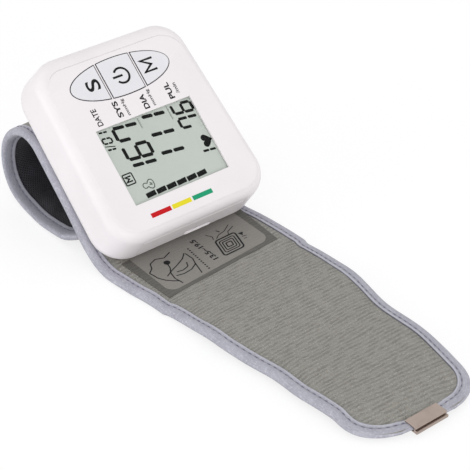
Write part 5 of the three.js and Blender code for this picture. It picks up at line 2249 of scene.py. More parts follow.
    def spot(self, u: float, y: float, h: float) -> Vector:
        """Return the world's point at a distance along, a place across and a height.

        Args:
            u: Distance along the route.
            y: Distance across.
            h: Height over the lining side.

        Returns:
            The point, in millimetres.
        """
        base, out = self.at(u)
        x = self.flat_end + u
        slope = self.sway(x + 0.5) - self.sway(x - 0.5)
        if u <= 0:
            h += self.bulge * over(-u, self.bulge_rise) * (1 - over(-u, self.bulge_fall))
            z = max(base.z + out.z * h, self.table)
            aside = self.sway(x) - self.tail_sway * over(-u, self.tail_stray)
            return Vector((base.x + out.x * h - slope * y, y + aside, z))
        calm = ease((x - self.flat_end) / self.ripple_rise) * (1 - over(x, self.ripple_fall))
        calm *= min(abs(y) / self.ripple_half, 1.0) ** 2
        ripple = self.ripple * noise.noise(Vector((x * 0.05, math.copysign(3.0, y), 0.4))) * calm
        end, aside = over(x, self.tip_bend), abs(y) - self.flat_half
        droop = self.tip_droop * end * ease(aside / self.droop_reach)
        z = max(base.z + out.z * h + ripple - droop, self.table)
        askew = self.askew * end * math.copysign(max(aside, 0), y)
        return Vector((base.x + out.x * h - slope * y + askew, y + self.sway(x), z))


def eased(knots: Sequence[Point2], stops: np.ndarray) -> np.ndarray:
    """Return the numbers at the stops of a soft line through the knots.

    Args:
        knots: Places and numbers that the line goes through.
        stops: Evenly spaced places.

    Returns:
        The number at each stop.
    """
    half, spread = 24, 7
    line = np.interp(stops, *zip(*knots))
    share = np.exp(-((np.arange(-half, half + 1) / spread) ** 2) / 2)
    return np.convolve(np.pad(line, half, mode="edge"), share / share.sum(), "valid")


def curve_point(
    p0: "float | Vector", p1: "float | Vector", p2: "float | Vector", p3: "float | Vector", t: float
) -> "float | Vector":
    """Return a point on the smooth curve through four knots.

    Args:
        p0: The knot before the stretch.
        p1: The knot where the stretch starts.
        p2: The knot where it ends.
        p3: The knot after it.
        t: The share of the stretch.

    Returns:
        The point, or one coordinate of it where the knots are numbers.
    """
    v0, v1 = (p2 - p0) / 2, (p3 - p1) / 2
    return (2 * p1 - 2 * p2 + v0 + v1) * t**3 + (3 * p2 - 3 * p1 - 2 * v0 - v1) * t**2 + v0 * t + p1


class Side(Enum):
    """What a height of the tape's section is measured from."""

    OVER = "the fabric's side"
    UNDER = "the lining's side"
    BETWEEN = "a share of the sandwich"


@dataclass
class Span:
    """One stretch of the soft sandwich, with its two bodies and the stretch of its joint."""

    name: str
    start: float
    end: float
    bodies: tuple[Body, Body]
    blend_from: float
    blend_to: float
    fabric_nodes: tuple[str, ...]
    lining_nodes: tuple[str, ...]
    binding_nodes: tuple[str, ...]


@dataclass
class SoftGoods:
    """The cuff and strap: fabric, lining, binding tape and stitches over one shared route."""

    route: Route
    tape_width: float = 4.9
    tape: float = 0.5
    web: float = 1.1
    lining: float = 1.1
    fabric: float = 1.1
    step: float = 1.25
    rows: int = 44
    stitch: float = 1.5
    seam: float = 3.2
    thread: float = 0.34
    thread_sunk: float = 0.14
    stitch_pitch: float = 2.7
    pucker: float = 0.09
    firm: float = 0.55
    tuck: float = 0.55
    dip: float = 0.2
    wave: float = 0.22
    quilt: float = 0.08
    wave_in: Point2 = (5, 6)
    crown: float = 0.24
    crown_in: Point2 = (5, 9)
    crease: float = 0.2
    crease_from: Point2 = (-12, 4)
    swell: float = 0.75
    swell_start: Point2 = (6, 15)
    swell_end: Point2 = (6, 12)
    swell_in: Point2 = (4, 9)
    patch_room: Point3 = (78.3, 104.2, 18.2)
    blend_height: float = 1.7
    hinges: tuple[Point2, Point2, Point2] = ((2, 14), (36, 48), (70, 82))
    cuts: Point2 = (25.0, 59.0)
    # The tape's upper side, as distances from the edge and heights over the sandwich's side
    relief: tuple[Point2, ...] = (
        (4.9, -0.58), (4.86, -0.2), (4.68, 0.02), (4.35, 0.1), (3.95, 0.05), (3.55, -0.1), (3.2, -0.17),
        (2.85, -0.11), (2.45, -0.05), (2.05, -0.04), (1.65, -0.08), (1.25, -0.17), (0.85, -0.34),
        (0.45, -0.68), (0.16, -1.12),
    )
    # The heights of its lower side where it lies on the table
    laid: tuple[float, ...] = (
        1.0, 0.5, 0.2, 0.06, 0.02, 0.02, 0.02, 0.02, 0.02, 0.02, 0.02, 0.03, 0.06, 0.25, 0.6,
    )
    outline: np.ndarray = field(default_factory=lambda: np.zeros((0, 2)))

    def plan(self, start: float, end: float) -> list[Point2]:
        """Draw the edge in plan between two distances, from the near side round to the far one.

        Args:
            start: Where it starts along the route.
            end: Where it ends.

        Returns:
            The edge's points.
        """
        route = self.route
        tip, tail = route.strap_end - route.flat_end, -route.length
        stops = list(np.arange(start, end, 1.0)) + [end]
        near = []
        for u in stops:
            if tail + route.end_corner < u < tip - route.round_length:
                near.append((u, -route.half_width(u)))
        if start <= tail:
            turn = [tail + route.end_corner * (1 - math.sin(angle)) for angle in quarter(24)]
            corner = [(u, -route.half_width(u)) for u in turn]
            back = [(tail, y) for y in np.arange(-route.half + route.end_narrow + 1, 0, 1.5)]
            near = [(tail, 0.0), *reversed(back), *reversed(corner), *near]
        if end >= tip:
            half = route.half_width(tip - route.round_length - 1e-6)
            power = 2 / route.round_power
            for angle in quarter(60):
                u = tip - route.round_length * (1 - math.sin(angle) ** power)
                near.append((u, -half * abs(math.cos(angle)) ** power))
        return near

    def edge_line(self, start: float, end: float) -> list[list[Point2]]:
        """Return the edge as lines in plan with the cloth on their left, evenly spaced.

        Args:
            start: Where they start along the route.
            end: Where they end.

        Returns:
            One line where the cloth ends in a corner or a tip, or else one on either side.
        """
        near = even_line(self.plan(start, end), self.step)
        far = [(u, -y) for u, y in reversed(near)]
        if start <= -self.route.length:
            return [far + near[1:]]
        if end >= self.route.strap_end - self.route.flat_end:
            return [near + far[1:]]
        return [near, far]

    def inward(self, line: Sequence[Point2], k: int) -> Vector:
        """Return the way from the edge into the cloth at one point of a line.

        Args:
            line: The edge line.
            k: The point's index.

        Returns:
            The way, one unit long.
        """
        a, b = line[max(k - 1, 0)], line[min(k + 1, len(line) - 1)]
        way = Vector((b[0] - a[0], b[1] - a[1])).normalized()
        return Vector((-way.y, way.x))

    def depth_in(self, us: np.ndarray, ys: np.ndarray) -> np.ndarray:
        """Return how far points in plan lie from the edge.

        Args:
            us: The points' distances along.
            ys: Their distances across.

        Returns:
            Each point's distance from the edge.
        """
        points = np.stack([us.ravel(), ys.ravel()], 1)
        a, b = self.outline[:-1], self.outline[1:]
        way = b - a
        length = np.maximum((way**2).sum(1), 1e-9)
        best = np.full(len(points), 1e9)
        for k in range(len(a)):
            t = np.clip(((points - a[k]) @ way[k]) / length[k], 0, 1)
            gap = points - (a[k] + t[:, None] * way[k])
            best = np.minimum(best, (gap**2).sum(1))
        return np.sqrt(best).reshape(us.shape)

    def stations(self, start: float, end: float) -> list[float]:
        """Return the distances at which the cloth has a row of points.

        Args:
            start: Where the cloth starts.
            end: Where it ends.

        Returns:
            The distances along.
        """
        route = self.route
        tip, tail = route.strap_end - route.flat_end, -route.length
        low, high = max(start, tail + self.web), min(end, tip - self.web)
        count = max(int((high - low) / self.step), 2)
        stops = [low + (high - low) * k / count for k in range(count + 1)]
        if end >= tip:
            dense = [high - route.round_length * 0.5 * (k / 14) ** 2 for k in range(15)]
            stops = sorted([u for u in stops if u < dense[-1] - 0.4] + dense)
        return stops

    def cloth(self, name: str, span: Span, upper: bool) -> Piece:
        """Build one layer: the fabric on the outside or the lining on the inside.

        Args:
            name: The piece's name.
            span: The stretch it covers.
            upper: Whether it is the outer fabric.

        Returns:
            The closed sheet.
        """
        route = self.route
        stops = self.stations(span.start, span.end)
        # The rows of points lie closer together towards both edges
        steps = [k / self.rows for k in range(self.rows + 1)]
        shares = [math.sin((step - 0.5) * math.pi) * 0.35 + (step * 2 - 1) * 0.65 for step in steps]
        us = np.array([[u] * len(shares) for u in stops])
        ys = np.array([[s * max(route.half_width(u) - self.web, 0.25) for s in shares] for u in stops])
        deep = self.depth_in(us, ys)
        outer, inner = [], []
        for (i, j), inset in np.ndenumerate(deep):
            u, y = float(us[i, j]), float(ys[i, j])
            face, back = self.layer_heights(u, y, float(inset), upper)
            outer.append(route.spot(u, y, face))
            inner.append(route.spot(u, y, back))
        return closed_sheet(name, outer, inner, len(stops), len(shares), list(zip(us.ravel(), ys.ravel())))

    def layer_heights(self, u: float, y: float, inset: float, upper: bool) -> tuple[float, float]:
        """Return the heights of one layer at a place.

        Args:
            u: Distance along the route.
            y: Distance across.
            inset: Distance from the edge.
            upper: Whether it is the outer fabric.

        Returns:
            The heights of its visible side and of its hidden side.
        """
        route = self.route
        x = route.flat_end + u
        low, high = route.faces(u, y, inset)
        scale = min((high - low) / route.thin, 1.0)
        tucked = self.tuck * (1 - ease(inset - self.tape_width + 0.4))
        dip = self.dip * bump(inset - self.tape_width, 0.9, 0.8)
        ripple = noise.noise(Vector((u * 0.055, y * 0.07, 3.1 if upper else 7.7)))
        quilt = noise.noise(Vector((u * 0.21, y * 0.19, 1.3)))
        wave = (self.wave * ripple + self.quilt * quilt) * over(inset, self.wave_in)
        if upper:
            calm = 0.1 if -route.ends[3] < u < -5 else 1.0
            crease = self.crease * bump(x - 10.6, 0.23 * y, 0.9) * over(y, self.crease_from)
            crown = self.crown * over(inset, self.crown_in)
            face = high - (tucked + dip) * scale + (wave + crown) * calm - crease
            back = high - self.fabric if u < 0 else low + (high - low) * 0.56
            return face, min(back, face - 0.45)
        curled = -u - route.ends[2]
        puff = over(curled, self.swell_start) * over(route.length + u, self.swell_end)
        puff *= over(inset, self.swell_in)
        fold = abs(noise.noise(Vector((u * 0.07, y * 0.045 + u * 0.03, 4.4))))
        uneven = 0.8 * noise.noise(Vector((u * 0.05, y * 0.05, 9.2)))
        swell = puff * (self.swell + uneven - 0.7 * (1 - ease(fold / 0.12)))
        sunk = (tucked + dip) * scale - 0.5 * wave + 0.06
        start, end, half = self.patch_room
        patch = ease((x - start) / 1.2) * ease((end - x) / 1.2) * ease((half - abs(y)) / 1.2)
        sunk = min(max(sunk, 0.04), 0.75) * (1 - patch) + 0.74 * scale * patch
        return low + sunk - swell, low + (self.lining if u < 0 else 1.4 * scale)

    def binding(self, name: str, lines: list[list[Point2]]) -> Piece:
        """Sweep the folded tape along the edge lines.

        Args:
            name: The piece's name.
            lines: The edge lines.

        Returns:
            The tape as one mesh.
        """
        over, under, between = Side.OVER, Side.UNDER, Side.BETWEEN
        section = [(d, over, h, h) for d, h in self.relief] + [(0.0, between, 0.5, 0.5)]
        section += [(d, under, flat_h, -h) for (d, h), flat_h in zip(reversed(self.relief), self.laid)]
        section += [(1.4, under, 0.6, 0.6), (1.0, between, 0.5, 0.5)]
        section += [(d, over, -0.62, -0.62) for d in (1.4, 4.7)]
        points: list[Vector] = []
        faces: list[Sequence[int]] = []
        flat: list[Point2] = []
        for line in lines:
            faces += skin(len(points), len(line), len(section))
            run = 0.0
            for k, (u, y) in enumerate(line):
                if k:
                    run += math.dist(line[k - 1], line[k])
                into = self.inward(line, k)
                pucker = self.pucker * math.sin(run * math.tau / self.stitch_pitch)
                drift = noise.noise(Vector((run * 0.09, y * 0.01, 5.5)))
                lump = noise.noise(Vector((run * 0.31, y * 0.02, 2.2)))
                width = 1 + 0.07 * drift
                curled = ease((-u - self.route.ends[1] - 4) / 10)
                for d, side, flat_h, curled_h in section:
                    pu, py = u + into.x * d * width, y + into.y * d * width
                    low, high = self.route.faces(pu, py, d)
                    scale = min((high - low) / self.route.thin, 1.0)
                    rise = flat_h + (curled_h - flat_h) * curled
                    loose = 0.0
                    if abs(rise) <= self.firm:
                        sewn = pucker * bump(d, self.seam, 1.2)
                        loose = (0.12 * drift + 0.07 * lump) * bump(d, 3.0, 5) + sewn
                    if side is between:
                        height = low + (high - low) * rise
                    elif side is over:
                        height = high + (rise + loose) * scale
                    else:
                        height = low + (rise - loose * curled) * scale
                    points.append(self.route.spot(pu, py, height) * MM)
                    flat.append((run, -d if side is under else d))
        mesh = bpy.data.meshes.new(name)
        mesh.from_pydata([tuple(p) for p in points], [], faces)
        lay_uv(mesh, flat)
        return closed_out(name, mesh)

    def stitches(self, name: str, lines: list[list[Point2]], under: bool) -> Piece:
        """Sew a row of stitches along the tape's groove.

        Args:
            name: The piece's name.
            lines: The edge lines.
            under: Whether the row runs on the lining side.

        Returns:
            The stitches as one mesh.
        """
        points: list[Vector] = []
        edges: list[tuple[int, int]] = []
        for line in lines:
            for k, (u, y) in enumerate(line):
                into = self.inward(line, k)
                pu, py = u + into.x * self.seam, y + into.y * self.seam
                low, high = self.route.faces(pu, py, self.seam)
                sunk = self.thread_sunk * min((high - low) / self.route.thin, 1.0)
                height = low + sunk if under else high - sunk
                if k:
                    edges.append((len(points) - 1, len(points)))
                points.append(self.route.spot(pu, py, height) * MM)
        sizes = {"Pitch": self.stitch_pitch * MM, "Length": self.stitch * MM, "Thread": self.thread * MM}
        tree = PatternTree(f"{name}_pattern", sizes)
        path = tree.node("GeometryNodeMeshToCurve", None, {0: tree.start.outputs[0]})
        pitch = {0: path, "Length": tree.size("Pitch")}
        spaced = tree.node("GeometryNodeResampleCurve", {"mode": "LENGTH"}, pitch)
        bead = tree.node("GeometryNodeMeshUVSphere", None, {"Segments": 8, "Rings": 6, "Radius": 0.5})
        thread = tree.scaled(bead, "Length", "Thread", "Thread")
        tangent = tree.node("GeometryNodeInputTangent")
        turn = tree.node("FunctionNodeAlignRotationToVector", {"axis": "X"}, {"Vector": tangent})
        places = {0: spaced, "Instance": thread, "Rotation": turn}
        sewn = tree.node("GeometryNodeInstanceOnPoints", None, places)
        return tree.run(points_object(name, points, edges), sewn, FINISH.thread)

    def finish(
        self, piece: Piece, span: Span, finish: Finish, slot: Slot, nodes: Sequence[str] = ()
    ) -> None:
        """Dress a soft piece and hide the CAD nodes it stands for.

        Args:
            piece: The piece, in the world and in metres.
            span: Not used.
            finish: Its finish.
            slot: Not used.
            nodes: The CAD nodes it stands for.
        """
        piece.data.materials.clear()
        piece.data.materials.append(finish.material())
        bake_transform(piece)
        if nodes:
            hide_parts(*nodes)

    def declare(self, piece: Piece, span: Span) -> None:
        """Log the size that a layer of cloth is cut to.

        Args:
            piece: The layer.
            span: The stretch it covers.
        """
        stops = self.stations(span.start, span.end)
        widths = [2 * max(self.route.half_width(u) - self.web, 0.25) for u in stops]
        area = sum((b - a) * (v + w) / 2 for a, b, v, w in zip(stops, stops[1:], widths, widths[1:]))
        length = stops[-1] - stops[0]
        flat = (max(widths) * MM, length * MM)
        area * MM * MM
        LOG.info("%s is cut to %.1f x %.1f mm", piece.name, max(widths), length)

    def build(self) -> None:
        """Build every stretch of the cuff and strap."""
        route = self.route
        tip, tail = route.strap_end - route.flat_end, -route.length
        near = even_line(self.plan(tail, tip), 1.0)
        loop = near + [(u, -y) for u, y in reversed(near)]
        self.outline = np.array(loop)
        cut_1, cut_2 = (cut - route.flat_end for cut in self.cuts)
        hinge_1, hinge_2, hinge_3 = self.hinges
        spans = (
            Span(
                "cuff", tail, cut_1, (Body.MONITOR, Body.STRAP_1), *hinge_1,
                ("cuff_fabric", "strap_1_fabric"),
                ("cuff_lining", "strap_1_lining"),
                ("cuff_binding_near", "cuff_binding_far", "strap_1_binding_near", "strap_1_binding_far"),
            ),
            Span(
                "middle", cut_1, cut_2, (Body.STRAP_1, Body.STRAP_2), *hinge_2,
                ("strap_2_fabric",), ("strap_2_lining",), ("strap_2_binding_near", "strap_2_binding_far"),
            ),
            Span(
                "end", cut_2, tip, (Body.STRAP_2, Body.STRAP_TIP), *hinge_3,
                ("strap_tip_fabric",), ("strap_tip_lining",), ("strap_tip_binding",),
            ),
        )
        for span in spans:
            lines = self.edge_line(span.start, span.end)
            top = self.cloth(f"{span.name}_loop_cloth", span, True)
            below = self.cloth(f"{span.name}_mesh_cloth", span, False)
            tape = self.binding(f"{span.name}_edge_tape", lines)
            sewn = [self.stitches(f"{span.name}_stitches", lines, False)]
            if span.name == "cuff":
                curl = [p for p in lines[0] if p[0] < -route.ends[2]]
                sewn.append(self.stitches("cuff_inner_stitches", [curl], True))
            self.finish(top, span, FINISH.loop, Slot.LOOP, span.fabric_nodes)
            self.finish(below, span, FINISH.lining, Slot.LINING, span.lining_nodes)
            self.finish(tape, span, FINISH.tape, Slot.TAPE, span.binding_nodes)
            for row in sewn:
                self.finish(row, span, FINISH.thread, Slot.TAPE)
            self.declare(top, span)
            self.declare(below, span)


@dataclass
class CuffFilling:
    """What lies inside the cuff: the stiff sheet that keeps its curl and the flat air bladder."""

    route: Route
    sheet_half: float = 28.5
    sheet_depths: Point2 = (2.05, 1.45)
    bladder_half: float = 29.5
    bladder_low: float = 1.45
    bladder_depth: float = 2.2
    weld: float = 0.25
    corner: float = 8.0
    step: float = 2.0
    columns: int = 26

    def layer(self, name: str, half: float, heights: Callable[[float, float], Point2]) -> Piece:
        """Build a closed layer that follows the route.

        Args:
            name: The piece's name.
            half: Its half width.
            heights: Gives the two heights at a distance along and a share across.

        Returns:
            The closed piece.
        """
        start, end = -(self.route.length - 13), -self.route.ends[2]
        count = int((end - start) / self.step)
        lower, upper, flat = [], [], []
        for i in range(count + 1):
            u = start + (end - start) * i / count
            near = min(i, count - i) * (end - start) / count
            turn = max(0.0, 1 - (near + 0.4) / self.corner)
            reach = half - self.corner * (1 - math.sqrt(1 - turn * turn))
            for j in range(self.columns + 1):
                share = 2 * j / self.columns - 1
                fade = ease((near + 0.6) / 6)
                low, high = heights(u, share)
                middle = (low + high) / 2
                thin = self.weld + (abs(high - low) / 2 - self.weld) * fade
                lower.append(self.route.spot(u, share * reach, middle - thin))
                upper.append(self.route.spot(u, share * reach, middle + thin))
                flat.append((u, share * reach))
        return closed_sheet(name, upper, lower, count + 1, self.columns + 1, flat)

    def build(self) -> None:
        """Build both layers."""
        route = self.route

        def spring(u: float, share: float) -> Point2:
            """Return the stiff sheet's heights, the same all the way across."""
            return tuple(route.thick(u) - depth for depth in self.sheet_depths)

        stiff = self.layer("curl_spring_sheet", self.sheet_half, spring)
        settle(stiff, UNMOVED, Body.MONITOR, FINISH.sheet, Slot.SHEET, "curl_sheet")

        def pillow(u: float, share: float) -> Point2:
            """Return the bladder's heights: full in the middle, welded flat at its sides.

            Args:
                u: Distance along the route.
                share: Place across, from -1 to 1.

            Returns:
                The lower and the upper height.
            """
            low, high = self.bladder_low, route.thick(u) - self.bladder_depth
            middle, thick = (low + high) / 2, (high - low) / 2
            full = self.weld + max(thick - self.weld, 0) * (1 - abs(share) ** 6)
            return middle - full, middle + full

        bladder = self.layer("air_pillow", self.bladder_half, pillow)
        settle(bladder, UNMOVED, Body.MONITOR, FINISH.bladder, Slot.RUBBER, "air_bladder")


@dataclass
class AirHose:
    """The short hose from the pump's nozzle round behind the valve to the manifold."""

    housing: Housing
    radius: float = 2.1
    bore: float = 1.3
    knots: tuple[Point3, ...] = (
        (-26.5, 20.8, 7.4), (-26.5, 21.85, 7.4), (-11.57, 25.5, 6.2), (1.06, 17.1, 5.0), (1.06, 15.0, 5.0),
    )

    def build(self) -> None:
        """Sweep the hose's wall along its line."""
        knots = [Vector(k) for k in self.knots]
        padded = [knots[0] * 2 - knots[1], *knots, knots[-1] * 2 - knots[-2]]
        line = []
        for four in zip(padded, padded[1:], padded[2:], padded[3:]):
            line += [curve_point(*four, t) for t in np.linspace(0, 1, 12, endpoint=False)]
        line.append(knots[-1])
        last = len(line) - 1
        side = Vector((0, 0, 1))
        rings: Rings = []
        walls = [(0, self.bore), *((k, self.radius) for k in range(last + 1)), (last, self.bore)]
        for index, radius in walls:
            way = (line[min(index + 1, last)] - line[max(index - 1, 0)]).normalized()
            side = (side - way * side.dot(way)).normalized()
            other = way.cross(side)
            rings.append(
                [line[index] + (side * math.cos(a) + other * math.sin(a)) * radius for a in around(24)]
            )
        # The bore is seen a little way into both ends
        rings.append([p + (line[last - 1] - line[last]) * 0.9 for p in rings[-1]])
        rings.insert(0, [p + (line[1] - line[0]) * 0.9 for p in rings[0]])
        hose = smooth(loft("bent_hose", rings), 50, False)
        settle(hose, self.housing.place(), Body.MONITOR, FINISH.hose, Slot.HOSE, "air_hose")


def even_line(points: Sequence[Point2], step: float) -> list[Point2]:
    """Space a line's points evenly.

    Args:
        points: The line's points.
        step: The wanted spacing.

    Returns:
        The new points.
    """
    run = [0.0]
    for a, b in zip(points, points[1:]):
        run.append(run[-1] + math.dist(a, b))
    count = max(round(run[-1] / step), 2)
    wanted = np.linspace(0, run[-1], count + 1)
    us = np.interp(wanted, run, [p[0] for p in points])
    ys = np.interp(wanted, run, [p[1] for p in points])
    return list(zip(us.tolist(), ys.tolist()))


def closed_sheet(
    name: str, outer: Rings, inner: Rings, rows: int, columns: int, flat: Sequence[Point2]
) -> Piece:
    """Close two grids of points into one sheet, with the cloth's own UV map.

    Args:
        name: The piece's name.
        outer: The points of the visible side, row by row.
        inner: The points of the hidden side.
        rows: Points along.
        columns: Points across.
        flat: Where each point lies on the flat cloth.

    Returns:
        The closed piece.
    """
    faces: list[Sequence[int]] = []
    under = rows * columns
    for i in range(rows - 1):
        for j in range(columns - 1):
            a = i * columns + j
            quad = (a, a + 1, a + columns + 1, a + columns)
            faces.append(quad)
            faces.append(tuple(under + k for k in reversed(quad)))
    rim = list(range(columns))
    rim += [i * columns + columns - 1 for i in range(1, rows)]
    rim += [(rows - 1) * columns + j for j in range(columns - 2, -1, -1)]
    rim += [i * columns for i in range(rows - 2, 0, -1)]
    for k, a in enumerate(rim):
        b = rim[(k + 1) % len(rim)]
        faces.append((b, a, under + a, under + b))
    mesh = bpy.data.meshes.new(name)
    mesh.from_pydata([tuple(p * MM) for p in [*outer, *inner]], [], faces)
    lay_uv(mesh, list(flat) * 2)
    return closed_out(name, mesh)


def lay_uv(mesh: bpy.types.Mesh, flat: Sequence[Point2]) -> None:
    """Write each corner's place on the flat cloth, in millimetres, as the UV map.

    Args:
        mesh: The mesh.
        flat: Each point's place on the flat cloth.
    """
    layer = mesh.uv_layers.new(name="cloth")
    for loop in mesh.loops:
        layer.data[loop.index].uv = flat[loop.vertex_index]


def closed_out(name: str, mesh: bpy.types.Mesh) -> Piece:
    """Turn a closed mesh's faces outwards, shade it smoothly and put it in the scene.

    Args:
        name: The piece's name.
        mesh: Its mesh.

    Returns:
        The new object.
    """
    shape = bmesh.new()
    shape.from_mesh(mesh)
    bmesh.ops.recalc_face_normals(shape, faces=shape.faces)
    shape.to_mesh(mesh)
    shape.free()
    mesh.shade_smooth()
    mesh.set_sharp_from_angle(angle=math.radians(60))
    return placed(name, mesh)


@dataclass
class Clip:
    """The folded steel clip over the strap's end: a flat plate above a slot and a turned-up lip."""

    half: float = 7.2
    profile: tuple[Point2, ...] = (
        (106.0, 3.9), (111.35, 3.9), (111.5, 3.84), (111.56, 3.7), (111.5, 3.46), (110.9, 3.4), (110.9, 2.86),
        (111.5, 2.8), (112.0, 2.78), (112.14, 2.7), (112.2, 2.56), (112.2, 1.9), (112.1, 1.68), (111.9, 1.6),
        (106.0, 1.6), (106.0, 1.98), (110.4, 1.98), (110.4, 3.5), (106.0, 3.5),
    )

    def build(self) -> None:
        """Fold the clip's sheet round the strap's end."""
        rings = [[Vector((x, y, z)) for x, z in self.profile] for y in (-self.half, self.half)]
        fold = loft("steel_fold", rings)
        soften(fold, 0.09, 3, 50)
        smooth(fold, 30)
        settle(fold, IN_MM, Body.STRAP_TIP, FINISH.clip, Slot.STEEL, "end_clip")


@dataclass
class HookPatch:
    """The patch under the strap's tip: a plate with rows of small nylon hooks."""

    route: Route
    start: float = 79.5
    end: float = 103.0
    half: float = 17.0
    corner: float = 5.0
    low: float = 0.42
    high: float = 0.8
    pitch: float = 1.35
    bare_rim: float = 1.2

    def carried(self, point: Vector) -> Vector:
        """Bring a point of the flat strap to where the bowed strap has it."""
        return self.route.spot(point.x - self.route.flat_end, point.y, point.z)

    def build(self) -> None:
        """Build the plate and its hooks."""
        middle, half_x = (self.start + self.end) / 2, (self.end - self.start) / 2
        outline = rounded(half_x, self.half, self.corner, 10, middle)
        plate = prism("hook_plate", outline, self.low, self.high)
        soften(plate, 0.1, 2)
        for vert in plate.data.vertices:
            vert.co = self.carried(vert.co)
        smooth(plate)
        settle(plate, IN_MM, Body.STRAP_TIP, FINISH.hook, Slot.HOOK, "hook_patch")
        spots = []
        for i in range(int(2 * half_x / self.pitch)):
            for j in range(int(2 * self.half / self.pitch)):
                x = self.start + (i + 0.6) * self.pitch
                y = -self.half + (j + 0.6 + 0.4 * (i % 2)) * self.pitch
                past_x, past_y = abs(x - middle) - half_x, abs(y) - self.half
                inside = max(past_x, past_y) < -self.bare_rim
                cut = max(past_x + self.corner, 0) ** 2 + max(past_y + self.corner, 0) ** 2
                if inside and cut < (self.corner - 0.8) ** 2:
                    spots.append(self.carried(Vector((x, y, self.low))) * MM)
        tree = PatternTree("hook_pattern", {"Reach": self.low * MM})
        handles = {
            "Resolution": 5,
            "Start": (0, 0, 0),
            "Start Handle": (0, 0, -1.25),
            "End Handle": (0.9, 0, -1.25),
            "End": (0.8, 0, -0.4),
        }
        arc = tree.node("GeometryNodeCurvePrimitiveBezierSegment", None, handles)
        thread = tree.node("GeometryNodeCurvePrimitiveCircle", None, {"Resolution": 4, "Radius": 0.2})
        hook = tree.node("GeometryNodeCurveToMesh", None, {0: arc, 1: thread, "Fill Caps": True})
        tall = tree.lengths("Reach", "Reach", "Reach")
        places = {0: tree.start.outputs[0], "Instance": hook, "Scale": tall}
        planted = tree.node("GeometryNodeInstanceOnPoints", None, places)
        hooks = tree.run(points_object("nylon_hooks", spots), planted, FINISH.hook)
        settle(hooks, UNMOVED, Body.STRAP_TIP, FINISH.hook, Slot.HOOK)


